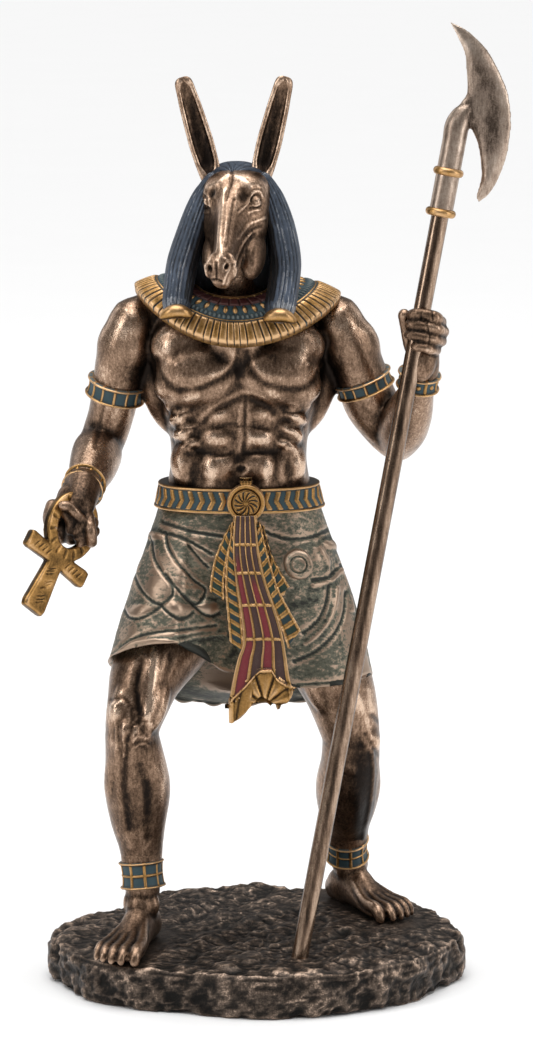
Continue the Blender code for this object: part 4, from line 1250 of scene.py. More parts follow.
@dataclass
class Hands:
    """The right hand closed on the ankh's loop, and the left hand round the shaft."""

    grain: float = 0.4
    over_loop: Sequence = (
        table("-49.9,-13,138.4,5.6 -50.4,-17.2,136.1,5.2 -50.8,-20.8,133.8,4.6 -51.7,-21.5,131.5,4"),
        table("-55.1,-27.6,135.1,1.5 -53.5,-27,134.7,1.6 -51.8,-27.1,133,1.6 -50.1,-25.8,130.8,1.5"),
        table("-48.4,-23.4,131.2,1.9 -50.4,-26.1,128.8,1.6 -51.9,-25.8,127.2,1.5"),
        table("-46.8,-21.3,128.9,1.9 -49,-24.5,126.7,1.6 -51,-25,125.3,1.4"),
        table("-46.4,-20.3,126.2,1.8 -48.5,-23.3,124.4,1.5 -50.5,-24,123.3,1.4"),
        table("-54.5,-25.5,132.5,1.7 -53.3,-26.1,130.3,1.6 -53.3,-25.5,127.5,1.5"))

    def left(self) -> Clay:
        """Four fingers across the shaft's front, the palm outside and the thumb up the inside."""
        clay = Clay()
        out = unit(RIGHTWARDS - SHAFT_LINE * SHAFT_LINE[0])
        front = np.cross(SHAFT_LINE, out)
        front = -front if front[1] > 0 else front
        fingers = table("5.9,9.1,1.72,-3.1,1 7.3,6.1,1.58,-3.2,0.5 7.2,3.1,1.52,-2.9,0.35 "
                        "6.1,0.1,1.48,-0.4,0.2")
        for knuckle, level, thick, tip, arch in fingers:
            root = GRIP + SHAFT_LINE * level
            bent = knuckle * 0.66
            bends = ((knuckle - 0.8, -2.6, -0.9, 0.95), (knuckle, -0.4, -0.9, 1.12),
                     (knuckle * 0.94, 2.0, -0.4, 0.92),
                     (bent, 4.6, 0.5, 1.1), ((bent + tip) / 2, 5.1, 0.9, 0.9),
                     (bent * 0.15 + tip * 0.85, 4.2, 0.3, 1.0),
                     (tip, 2.8, -0.2, 0.86))
            clay.limb([(*(root + out * a + front * b + SHAFT_LINE * arch * c), thick * full, thick * full)
                       for a, b, c, full in bends], reference=SHAFT_LINE, sides=20, steps=4)
        clay.ball(GRIP + out * 3.6 - front * 2.6 + SHAFT_LINE * 4.0, (3.8, 3.6, 6.6), aim=SHAFT_LINE)
        clay.ball(GRIP + out * 3.2 - front * 1.0 - SHAFT_LINE * 4.2, (3.2, 4.0, 6.0), aim=SHAFT_LINE)
        thumb = table("0.5,-4.6,-3.2,2.1 -1.6,-3.8,0,1.9 -3.6,-1.8,4,1.5 -4.6,-0.5,6.8,1.6 "
                      "-4.9,-0.2,8.3,1.95")
        clay.limb([(*(GRIP + out * a + front * b + SHAFT_LINE * c), thick, thick) for a, b, c, thick in thumb],
                  sides=20)
        clay.limb([(*(LEFT_WRIST - vec(0.6, -3.4, 3.6)), 4.7, 4.6),
                   (*(LEFT_WRIST + vec(0.1, 0.2, 1.2)), 4.7, 4.6),
                   (*(LEFT_WRIST + vec(0.8, -1.4, 4.6)), 4.7, 4.4),
                   (*(GRIP + out * 2.8 - front * 2.4 - SHAFT_LINE * 2.0), 4.8, 4.2)])
        return clay

    def right(self) -> Clay:
        """Knuckles forward, fingers curled under the loop, and the thumb against it."""
        clay = Clay()
        clay.ball(RIGHT_FIST + vec(0.6, 1.2, 1.6), (5.0, 5.6, 7.4), aim=(0.15, -0.35, -1))
        clay.limb([(*RIGHT_WRIST, 5.7, 5.4), (*(RIGHT_WRIST + (RIGHT_FIST - RIGHT_WRIST) * 0.6), 5.2, 4.6),
                   (*RIGHT_FIST, 5.0, 4.6)])
        for k in range(4):
            slide = vec(3.9, -1.4, -0.2) * (1.1 - k * 0.78)
            start = RIGHT_FIST + slide + vec(1.2, -2.6, 0.0)
            stations = []
            for ahead, down in table("0,0 3.2,-3.6 1.6,-7.2 -3,-7.6 -5.2,-4.6"):
                stations.append((*(start + vec(0.1, -1, 0) * ahead + vec(-0.1, 0, 1) * down), 1.72, 1.72))
            clay.limb(stations, reference=unit(slide), sides=20, steps=4)
        for stations in self.over_loop:
            clay.limb([(*place, thick, thick) for *place, thick in stations], sides=20, steps=4)
        thumb = [RIGHT_FIST + vec(-5.4, 2, 2), RIGHT_FIST + vec(-6.2, -2.6, -1),
                 RIGHT_FIST - ANKH_RISE * 4 + vec(-3.4, -6.0, 0)]
        clay.limb([(*place, 2.0, 1.9) for place in thumb], sides=20)
        return clay

    def build(self) -> None:
        """Makes the pieces."""
        for name, clay in (("left_hand", self.left()), ("right_hand", self.right())):
            form = clay.merged(self.grain, 2)
            form.carve(HAND_CARVING)
            form.push(0.08 * uneven(form.points, 2.2, 4, 3))
            form.piece(name, Finish.HAND, "figure", gain=1.15)


# The rub and dab marks here are painted highlights on the brows and bridge, and painted shade along the
# hairline, in the eye hollows and nostrils, down the muzzle's flanks and under the jaw.
HEAD_CARVING = """
rub 0.1 4 | 229,174 219,180 210,187 | 235,176 243,180 249,186
rub 0.1 3.4 | 226,190 222,215 219,240 221,256
rub -0.16 5 | 237,216 232,240 228,256 | 211,214 210,248
rub -0.3 3 | 208,178 220,169 234,166 252,171 264,180
dab -0.2 | 243.5,196,5,7.5,-15 212,193,3.5,6,10 226.8,267,2,3.4,20 209.4,268,2,3.6,-12
dab -0.26 | 254,264,15,26,0 216,274,9,12,0 199,262,7,26,0
dab -0.1 | 256,232,12,12,0 209,226,6,14,0
draw 0.35 3.4 | 229,175 220,181 210,187 | 235,177 243,180 250,186
draw -0.42 1.6 | 231.6,171 231,182 227.5,192 225.6,200
draw 0.3 2.2 | 224,192 221,212 219.5,236 221.5,256
draw 0.14 1.6 | 227.5,200 226,218 224.5,240
draw -0.3 1.8 | 214.5,200 214.5,222 213.5,250 | 234,200 230.5,222 226.5,246
swell -0.65 | 243.5,195,4.8,6.8,-15 211.5,192,3.4,6,10
draw 0.34 1.3 | 239,212 247,204 250,197.5 254,192 259.5,191.5 262,197 | 205,192.5 208,197 210,206
draw -0.4 1 | 250.5,203.5 251.5,197.5 255.5,194.6 260,195.5 261,200 | 205.5,196 207.5,204
swell 0.25 | 256.2,200.3,3.2,3.2,-20 205.6,202,1.6,3.4,-8
dab -0.22 | 255.8,199.6,1.5,1.7,0 205.2,201.6,0.9,1.6,0
draw 0.25 0.9 | 250,202 254.5,205.8 260.8,204.5
draw -0.3 1.1 | 250.5,208 256,208.2 261,206 | 203.5,208.5 208.5,208
draw 0.22 1.1 | 249,213 254,210.8 260,210 | 203,213 208,212.5
draw 0.32 1.8 | 264.4,217.9 257,221 249.8,224 243.6,231 239,238
draw -0.3 1.8 | 262,226 253,229 247,235
draw 0.35 1.1 | 251.7,232.4 243.8,242 238,254 234.5,266
draw -0.3 1.8 | 254.5,234 247,243.5 241,256 237.5,266
draw 0.4 1.1 | 224.5,258.5 230.5,264.5 226.5,274 223.2,284 | 205,264.5 207,275 210.5,283
swell -1.1 | 226.6,266.5,1.9,3.2,20 209.4,268,1.8,3.4,-12
draw -0.4 1.2 | 208,281.5 215.5,279.5 222,281.5 | 216,262 216.5,272 216,280
"""


@dataclass
class Head:
    """The animal's head: a long narrow muzzle that points down, with heavy brows, and two tall ears."""

    turn: float = 12.0
    nod: float = 53.0
    brow: Sequence[float] = (-5.8, -12, 229.5)
    grain: float = 0.42
    ears: Sequence = (("right_ear", (-11.6, -2.5, 227.5), (-20.6, 0, 258.0)),
                      ("left_ear", (2.2, -2.5, 227.5), (9.9, 0, 258.2)))

    def axes(self) -> tuple[Array, Array, Array]:
        """Down the muzzle, to the figure's left, and out of the bridge."""
        turn, nod = math.radians(self.turn), math.radians(self.nod)
        level = vec(-math.sin(turn), -math.cos(turn), 0)
        return (level * math.cos(nod) - UP * math.sin(nod), vec(math.cos(turn), -math.sin(turn), 0),
                level * math.sin(nod) + UP * math.cos(nod))

    def spot(self, along: float, across: float, out: float) -> Array:
        """A place by its distance down the muzzle, to the side, and out from the bridge, in mm."""
        muzzle, cheek, bridge = self.axes()
        return vec(*self.brow) + muzzle * along + cheek * across + bridge * out

    def line(self, rows: Sequence[Sequence[float]]) -> list[tuple]:
        """Stations on the head for a limb: each row is along, across, out, half width and half depth."""
        return [(*self.spot(a, b, c), wide, deep) for a, b, c, wide, deep in rows]

    def loft(self) -> Array:
        """Sections of skull and muzzle from under the hair to the lips, as rows of closed outlines."""
        plan = (
            (-7.0, table("0,-6.6 3,-6.9 6,-8 8,-10 8.6,-12.5 7.5,-15.5 5,-17.5 0,-18.5")),
            (-5.0, table("0,-3.4 3,-3.7 6.2,-5.2 8.6,-8 9.3,-11.5 8.3,-15.5 5.5,-18 0,-19")),
            (-2.5, table("0,-1.3 3.2,-1.4 6.6,-2.9 9,-6 9.8,-10 9,-15 6,-18.5 0,-19.5")),
            (0.0, table("0,-0.6 3.4,-0.5 7,-2 9.2,-4.8 10,-9 9.4,-14.5 6.5,-18.5 0,-20")),
            (2.8, table("0,-0.1 3,-0.2 6.4,-1.9 8.8,-4.4 10,-8.4 9.6,-14 6.8,-18.5 0,-20.5")),
            (5.8, table("0,0.1 2.3,-0.1 5,-2.1 7.6,-5 9.6,-8.6 9.6,-13.5 7,-18.5 0,-21")),
            (9.5, table("0,0.2 1.9,-0.1 4.2,-2.4 6.2,-5.4 9.2,-9.2 9.4,-13.5 7,-18.5 0,-21")),
            (14.0, table("0,0.2 1.7,-0.2 3.6,-2.6 4.8,-5.6 7.6,-9.6 8,-13.5 6.4,-17.5 0,-19.5")),
            (18.5, table("0,0.1 1.6,-0.2 3.1,-2.5 3.9,-5.2 5.4,-8.8 5.8,-12 4.4,-15 0,-16.5")),
            (22.5, table("0,0 1.5,-0.3 2.8,-2.3 3.4,-4.6 4.1,-7.4 4,-9.8 3.2,-12 0,-13.4")),
            (26.0, table("0,-0.1 1.7,-0.5 3,-2 3.7,-4 4,-6.2 3.7,-8.4 2.8,-10.4 0,-11.6")),
            (29.0, table("0,-0.9 1.9,-1.3 3.2,-2.4 3.8,-4 3.8,-5.8 3.3,-7.8 2.4,-9.6 0,-10.5")),
            (31.2, table("0,-2.4 1.6,-2.7 2.7,-3.5 3.1,-4.7 3,-6 2.5,-7.6 1.7,-8.8 0,-9.4")),
            (32.6, table("0,-4 1.1,-4.2 1.9,-4.7 2.2,-5.4 2.1,-6.2 1.7,-7 1.1,-7.7 0,-8")),
            (33.0, table("0,-5 0.6,-5.1 1,-5.4 1.2,-5.8 1.1,-6.2 0.9,-6.6 0.5,-6.9 0,-7")),
        )
        rows = []
        for along, half in plan:
            mirrored = [(-a, b) for a, b in half[-2:0:-1]]
            outline = smooth_path([*half, *mirrored], 60, closed=True)
            rows.append([self.spot(along, a, b) for a, b in outline])
        flat = np.array(rows).reshape(len(plan), -1)
        return smooth_path(flat, 90).reshape(90, 60, 3)

    def clay(self) -> Clay:
        """The masses of skull, muzzle, lids, cheeks, nostrils, lips and jaw."""
        clay = Clay()
        muzzle, cheek, bridge = self.axes()
        clay.shell(self.loft())
        for s in (-1, 1):
            clay.ball(self.spot(5.2, s * 7.2, -4.4), (1.5, 1.35, 1.7), aim=muzzle)
            clay.limb(self.line([(-1.0, s * 4.0, -1.6, 0.9, 0.7), (0.8, s * 7.2, -3.1, 1.0, 0.9),
                                 (3.4, s * 9.0, -5.9, 0.7, 0.6)]), sides=16)
            clay.ball(self.spot(17.5, s * 5.6 + 0.5, -13.8), (3.8, 5.4, 8.0), aim=muzzle)
            clay.limb(self.line([(25.2, s * 2.6, -1.4, 0.8, 0.8), (27.6, s * 3.6, -2.2, 1.05, 1.0),
                                 (29.6, s * 3.9, -3.8, 0.95, 0.9), (30.2, s * 3.2, -5.4, 0.7, 0.6)]), sides=20)
            clay.limb(self.line([(19.0, s * 4.2, -9.2, 0.7, 0.8), (24.5, s * 3.8, -7.4, 0.8, 0.9),
                                 (29.0, s * 3.4, -6.6, 0.9, 0.8), (31.4, s * 1.6, -6.0, 0.8, 0.8)]), sides=20)
        clay.ball(self.spot(29.6, 0, -8.6), (2.4, 1.9, 2.6), aim=muzzle)
        return clay

    def ear(self, root: Array, tip: Array) -> Array:
        """A tall ear with a square tip and a channel down its front.

        Args:
            root: The middle of its foot.
            tip: The middle of its tip.

        Returns:
            Rows of closed sections.
        """
        line = tip - root
        along = unit(line)
        side = unit(np.cross(along, BACK))
        back = np.cross(side, along)
        back = -back if back[1] < 0 else back
        path = smooth_path(table("0,2.9,0.15 0.1,3.3,0.8 0.25,3.6,1 0.4,3.7,1 0.7,3.3,1 0.84,2.95,0.7 "
                                 "0.92,2.75,0.4 0.965,2.4,0.1 0.99,1.7,0.05 1,0.8,0"), 70)
        turn = np.linspace(0, math.pi, 26)
        rows = []
        for share, wide, hollow in path:
            middle = root + line * share
            outer = middle + np.outer(np.cos(turn), side) * wide + np.outer(np.sin(turn), back) * wide * 0.72
            inner = max((wide - 1.25) * min(1.0, 0.12 + share * 5.0, max(0.0, (0.955 - share) / 0.07) ** 0.5),
                        0.25)
            deep = inner * 0.72 * np.sin(turn[::-1]) * hollow - 0.35 * (1 - hollow)
            rows.append(np.concatenate([outer, middle + np.outer(np.cos(turn[::-1]), side) * inner
                                        + np.outer(deep, back)]))
        return np.array(rows)

    def build(self) -> None:
        """Makes the pieces."""
        form = self.clay().merged(self.grain, 5)
        form.carve(HEAD_CARVING)
        form.push(0.025 * uneven(form.points, 1.3, 2, 2))
        form.piece("head", Finish.FACE, "figure", gain=1.15, bias=0.02)
        for name, root, tip in self.ears:
            ear = Form.woven(self.ear(vec(*root), vec(*tip)), around=True, capped=True)
            ear.push(0.06 * uneven(ear.points * vec(1, 1, 0.4), 2.0, 6, 3))
            along = np.linspace(0, 1, 70)[:, None]
            # The channel down the ear's front is painted darker, most towards the foot and a little lighter at
            # the tip, over random variation in tone.
            channel = np.zeros((70, 52))
            channel[:, 26:] = -0.4 * np.sin(np.linspace(0, math.pi, 26)) * (1.0 - 1.35 * along ** 1.3)
            ear.rubbed_and_painted_light += channel.ravel()[:len(ear.rubbed_and_painted_light)] + 0.24 * uneven(ear.points * vec(1, 1, 0.1), 1.1, 8, 3)
            ear.piece(name, Finish.FACE, "figure", gain=0.7, bias=-0.04)


@dataclass
class Wig:
    """The striped wig: a bell over head and back, two lappets in front, and their gold caps."""

    strands: int = 104
    deep: float = 0.38
    bell: Sequence = table("233,-4.6,0.5,1,1.2 232.5,-4.6,0.8,4.5,6.2 230.6,-4.5,1,7.6,9.2 "
                           "226.3,-4.2,2.6,11.2,10.6 222.5,-4.2,4.5,13.2,11.6 215.5,-4.6,5,16,12.2 "
                           "207,-5,6,18,12.6 199,-5.4,8,19.4,11.8 190,-5,11,16.5,8.5 183,-5,14.5,14,6")
    lappets: Sequence = (
        ("right_lappet", table("-11.5,-3,228,2.4,2.6 -14.4,-4.6,222,3.8,3.4 -17.6,-5.6,213,4.4,6.2 "
                               "-20.6,-7,203,4.6,7 -22.2,-12.2,192.5,4.2,5.2")),
        ("left_lappet", table("3.5,-3.5,228,2.4,2.6 6,-5.4,222,3.8,3.4 8.6,-6.1,213,4.4,6.2 "
                              "9.8,-7.9,203,4.6,7 8.2,-13.4,191.5,4.6,5.2")))

    def build(self) -> None:
        """Makes the pieces."""
        path = smooth_path(self.bell, 86)
        bell = Form.woven(column_rows(path, 468, 2.0), around=True, capped=True)
        x, y, z = bell.points.T
        turn = np.arctan2((y - 4.5) * 1.15, x + 4.6)
        wobble = 0.25 * np.sin(z * 0.5 + turn * 7)
        groove = np.abs(np.cos(turn * self.strands / 2 + wobble)) ** 0.7
        fine = 0.4 * np.abs(np.cos(turn * self.strands + wobble * 2))
        grown = rounded_ramp(233.0 - z, 0.4, 5.0)
        fan = np.arctan2(x + 5.8, y + 9.5)
        front = rounded_ramp(z, 228.5, 231) * (1 - rounded_ramp(y, -3, 1))
        groove = groove * (1 - front) + np.abs(np.cos(fan * 11)) ** 0.7 * front
        bell.push(self.deep * np.maximum(grown, front) * (groove + fine * (1 - front) - 1.15))
        bell.rubbed_and_painted_light += 0.2 * uneven(bell.points * vec(1, 1, 0.08), 1.2, 3, 3)
        x, y, z = bell.points.T
        # Painted shade on the wig's front, beside and below the face.
        painted_shade_by_face = (1 - rounded_ramp(np.abs(x + 4.8), 11.5, 14)) * (1 - rounded_ramp(z, 221, 226))
        bell.rubbed_and_painted_light -= 0.45 * painted_shade_by_face * (1 - rounded_ramp(y, -2, 3))
        bell.piece("wig", Finish.HAIR, "figure", gain=1.2, bias=-0.02)
        for name, stations in self.lappets:
            rows = limb_rows(smooth_path(stations, 80), BACK, 96)
            lappet = Form.woven(rows, around=True, capped=True)
            count = rows.shape[1]
            turn = np.tile(np.arange(count) / count * math.tau, len(rows))
            groove = np.abs(np.cos(turn * 11)) ** 0.7 + 0.3 * np.abs(np.cos(turn * 33))
            lappet.push(0.34 * (groove - 1.1) + 0.1 * uneven(lappet.points * vec(1, 1, 0.06), 2.0, 9, 2))
            lappet.rubbed_and_painted_light += 0.2 * uneven(lappet.points * vec(1, 1, 0.08), 1.2, 5, 3)
            sense = 1 if "right" in name else -1
            heights, middles = [[row[k] for row in stations[::-1]] for k in (2, 0)]
            middle = np.interp(lappet.points[:, 2], heights, middles)
            inner = sense * (lappet.points[:, 0] - middle)
            # Painted shade on each lappet's side towards the face.
            lappet.rubbed_and_painted_light -= 0.5 * rounded_ramp(inner, 1.2, 3.0)
            lappet.piece(name, Finish.HAIR, "figure", gain=1.2, bias=-0.02)
            self.cap(name.split("_")[0] + "_cap", vec(*stations[-1][:3]) - BACK * 3.0,
                     -sense)

    @staticmethod
    def cap(name: str, end: Array, side: int) -> None:
        """Makes the gold crescent cap at a lappet's end.

        Args:
            name: The piece's name.
            end: The lappet's last station.
            side: -1 for the right lappet, 1 for the left.
        """
        turn = circle(32)
        rows = []
        for share in np.linspace(-1, 1, 60):
            full = max(1e-3, 1 - abs(share) ** 2.6) ** 0.5
            middle = end + vec(4.9 * share, -1.1 - 0.9 * (1 - share ** 2),
                               -1.5 - 1.5 * share ** 2 + side * share * -0.3)
            lip = 1 - 0.22 * np.exp(-((turn - math.pi * 1.27) / 0.22) ** 2)
            rows.append(middle + np.outer(np.cos(turn) * lip, vec(0, -1, 0)) * 2.3 * full
                        + np.outer(np.sin(turn) * lip, UP) * 2.1 * full)
        form = Form.woven(np.array(rows), around=True, capped=True)
        form.push(0.05 * uneven(form.points, 1.6, 4, 2))
        # Painted light on the cap: lighter where it faces up, and painted shade where it faces down.
        form.rubbed_and_painted_light += 0.1 * form.normals[:, 2] - 0.3 * rounded_ramp(-form.normals[:, 2], 0.3, 0.8)
        form.piece(name, Finish.GOLD, "figure", gain=1.2)


@dataclass
class Collar:
    """The broad collar, with its rings of ribs, drops and beads."""

    around: int = 640
    across: int = 52
    thick: float = 1.6

    def front(self) -> tuple[Array, Array, Array]:
        """The collar's upper side, with where each point lies from neck to edge and round the neck."""
        turn = circle(self.around)[:, None]
        share = np.linspace(0, 1, self.across)[None, :]
        c, s = np.cos(turn), np.sin(turn)
        rise = np.where(s < 0, 13.0, 10.4)
        outer = np.concatenate([-4.3 + 30.4 * s, 3.5 - 18.6 * c, 181.5 + rise * s * s + 1.5 * (1 - c)], axis=1)
        inner = np.concatenate([-5.4 + 11.0 * s, 3.5 - 11.5 * c, 196.5 - 3.0 * c], axis=1)
        middle = (outer + inner) / 2 + np.concatenate([0 * c, -1.6 * c, 2.2 + 0 * c], axis=1)
        a, b, d = inner[:, None], middle[:, None], outer[:, None]
        t = share[..., None]
        rows = a * (1 - t) * (1 - 2 * t) + b * 4 * t * (1 - t) + d * t * (2 * t - 1)
        return rows, share + 0 * turn, turn + 0 * share

    def build(self) -> None:
        """Makes the piece."""
        rows, share, turn = self.front()
        edge = share * 16.5
        height = np.zeros_like(share)
        gold = np.zeros_like(share)
        tint = np.zeros_like(share)
        for middle, half, tall in ((0.7, 0.8, 0.75), (10.7, 0.3, 0.2)):
            rim = ridge(edge, middle, half)
            height = np.maximum(height, rim * tall)
            gold = np.maximum(gold, rim > 0.25)
        plates = np.clip(np.abs(np.cos(turn * 16)) * 4.0 - 0.5, 0, 1)
        first = (edge > 1.5) & (edge < 5.0)
        height = np.where(first, 0.32 * plates * rounded_ramp(5.0 - edge, 0.0, 0.35), height)
        tint = np.where(first, 1.0, tint)
        drops = (edge > 5.2) & (edge < 8.6)
        drop = np.clip(1 - (np.abs(np.sin(turn * 21)) * 1.5) ** 2 - ((edge - 6.8) / 1.5) ** 2, 0, None) ** 0.5
        height = np.where(drops, 0.55 * drop, height)
        gold = np.where(drops, (drop > 0.1) * 1.0, gold)
        beads = (edge > 8.7) & (edge < 10.4)
        bead = np.clip(1 - (np.cos(turn * 50) * 1.1) ** 2 - ((edge - 9.5) / 0.85) ** 2, 0, None) ** 0.5
        height = np.where(beads, 0.5 * bead, height)
        outer = edge > 11.0
        rib = np.clip(np.abs(np.cos(turn * 41 + 0.5 * np.sin(turn * 9) + 0.3 * np.sin(turn * 23))) * 3.4
                      - 0.45, 0, 1)
        height = np.where(outer, 0.6 * rib * rounded_ramp(edge, 11.0, 11.5)
                          * (1 - 0.4 * rounded_ramp(edge, 16.1, 16.5)), height)
        gold = np.where(outer, (rib > 0.35) * 1.0, gold)
        across = np.gradient(rows, axis=1)
        along = np.gradient(rows, axis=0)
        out = unit(np.cross(along, across))
        out = np.where(out[..., 2:3] < 0, -out, out)
        front = rows + out * (height[..., None] + 0.1)
        under = rows - UP * self.thick * (1 + 2 * (1 - share[..., None]))
        back = [self.across - 1, self.across * 2 // 3, self.across // 3, 0]
        form = Form.woven(np.concatenate([front, under[:, back]], axis=1), around=True, loop=True)
        bare = np.zeros((self.around, len(back)))
        slats = np.where(outer, 0.22 * uneven(rows.reshape(-1, 3), 2.2, 8, 3).reshape(share.shape), 0.0)
        # The gaps between the outer slats are painted darker, partly their dark enamel and partly painted
        # shade, and the underside gets painted shade.
        form.rubbed_and_painted_light += np.concatenate([slats - 0.3 * (rib < 0.35) * outer, bare - 0.45], axis=1).ravel()
        form.paint("gold", np.concatenate([gold, bare + 0.8], axis=1).ravel())
        form.paint("tint", np.concatenate([tint, bare], axis=1).ravel())
        form.piece("collar", Finish.TRIM, "figure", gain=1.3)


# The rub and dab marks here are partly rubbed bronze showing on raised hems and lobes, and partly painted
# highlights and painted shade in the folds. The draw marks shape the folds.
KILT_FOLDS = """
draw -0.55 1.6 | 300,330 310,430 360,520 410,590 410,640 370,680 320,680 260,630 225,570 220,500 250,420
  290,350 | 375,310 390,390 450,480 520,560 580,600 580,640 545,685 500,670 430,600 380,530 | 500,375 560,450
  600,490 | 350,690 400,740 460,765 500,750 520,730 | 520,690 570,735 620,750 660,735 | 150,710 180,755 230,765
  290,740 345,700
rub 0.16 8 | 340,440 330,560 290,620 | 400,440 480,560
dab 0.2 | 240,715,11,7,0 440,705,12,6,0 340,600,12,12,0 1205,410,10,10,0 1300,640,7,30,0 1360,830,7,26,0
  1440,1010,10,10,0 1090,480,10,10,0 170,830,12,10,0
rub 0.22 2.6 | 90,960 200,885 330,850 480,840 640,825
rub -0.22 3 | 680,850 560,862 400,890 | 1040,700 1180,660 | 760,900 700,1000
draw -0.5 1.6 | 90,950 200,868 330,835 480,822 640,800 | 1050,1120 1320,1095 1480,1060 | 400,905 560,1000
  750,1070
draw 0.5 2.2 | 80,985 180,900 300,880 420,885 560,860 690,845
draw -0.55 1.8 | 1245,580 1230,680 1190,770 1110,840 | 1335,620 1325,740 1270,850 1170,940 1060,990 | 900,300
  1020,340 1150,330 1240,290 | 360,250 520,300 700,330 | 350,300 480,340 620,420 | 1160,560 1240,540 1305,480
draw 0.5 2.2 | 1190,390 1230,470 1240,540 | 1290,480 1360,600 1370,720 | 1290,600 1270,720 1210,820 1120,900 |
  1160,590 1250,565 1310,500
"""
KILT_LOBES = """
swell 0.9 | 160,585,14,26,-30 184,580,14,24,-45 140,612,12,8,-15 180,609,14,7,15 208,608,11,7,5 136,560,9,30,10
  152,536,9,5,0 322,556,12,16,20 330,545,8,5,20
"""


@dataclass
class Kilt:
    """The wrapped kilt, with its folded lobes, overlapping front layer and the knot at the hip."""

    sides: int = 360
    levels: int = 92
    heart: Sequence[float] = (-4, 4, 0)
    top: Sequence[float] = (130, -3.8, 4.8, 24.0, 14.8)
    hem: Sequence = table("-43,-8,84 -38.5,-22,90.5 -25,-26.5,94 -18,-23,90.5 -5,-17.5,82 12,-12,77.3 "
                          "27,-6,76.9 36.2,7,77 31,20,72 15.7,26,65 -8,27,63.5 -24,24,66 -37,12,75")

    def cloth(self) -> Array:
        """The cloth from its top ring to its hem, as levels, sides, 3."""
        z, x, y, wide, deep = self.top
        low = smooth_path(self.hem, self.sides, closed=True)
        turn = np.arctan2((low[:, 1] - self.heart[1]) / 1.25, low[:, 0] - self.heart[0])
        high = np.stack([x + wide * np.cos(turn), y + deep * np.sin(turn), z + 0 * turn], axis=1)
        share = np.linspace(0, 1, self.levels)[:, None, None]
        swell = unit(low - np.array(self.heart)) * 2.2
        swell[:, 2] = 0
        return high * (1 - share) + low * share + swell * np.sin(math.pi * share)

    def build(self) -> None:
        """Makes the pieces."""
        rows = self.cloth()
        inside = []
        hem = rows[-1]
        heart = np.array(self.heart)
        for inset, rise in table("0.985,0.3 0.955,0.9 0.9,1.6 0.8,3 0.62,5 0.45,7"):
            flat = (hem - heart) * vec(inset, inset, 1) + heart
            inside.append(flat + UP * rise)
        form = Form.woven(np.concatenate([rows, np.array(inside)]), around=True, capped=True)
        self.fold(form)
        form.piece("kilt", Finish.CLOTH, "figure", gain=1.3)
        self.knot()

    def fold(self, form: Form) -> None:
        """Works the folds into the cloth.

        Args:
            form: The cloth's skin.
        """
        form.carve(KILT_FOLDS, (95, 475), 5.315).carve(KILT_LOBES)
        x, y, z = form.points.T
        turn = np.arctan2(y - 4, x + 4)
        back = rounded_ramp(form.normals[:, 1], -0.25, 0.35)
        drape = np.sin(turn * 13 + 0.1 * (z - 100) + 1.5 * np.sin(turn * 3))
        form.push(back * drape * 0.9 * rounded_ramp(130 - z, 2, 30)
                  + 0.22 * uneven(form.points, 9.0, 7, 3)
                  + 0.1 * uneven(form.points * vec(0.5, 0.5, 1), 1.5, 12, 3))

    def knot(self) -> None:
        """Makes the round knot at the left hip, with its groove."""
        middle = PHOTO.place(np.array([(298.0, 565.0)]), lambda x, z: 0 * x - 19.0)[0]
        rows = []
        turn = circle(72)
        for far in np.linspace(4.3, 0.25, 26):
            dome = 1.7 * math.sqrt(max(0.0, 1 - (far / 4.45) ** 2))
            groove = -0.55 * math.exp(-((far - 2.4) / 0.35) ** 2)
            rows.append(middle + hoop(turn, vec(1, -0.25, 0), vec(0, 0.15, 1)) * far
                        + vec(0.2, -1, 0.25) * (dome + groove))
        under = rows[0] + vec(-0.2, 3.0, 0)
        form = Form.woven(np.array([under, *rows]), around=True, capped=True)
        form.push(0.05 * uneven(form.points, 1.4, 3, 2))
        form.piece("hip_knot", Finish.CLOTH, "figure", gain=1.2, bias=0.06)


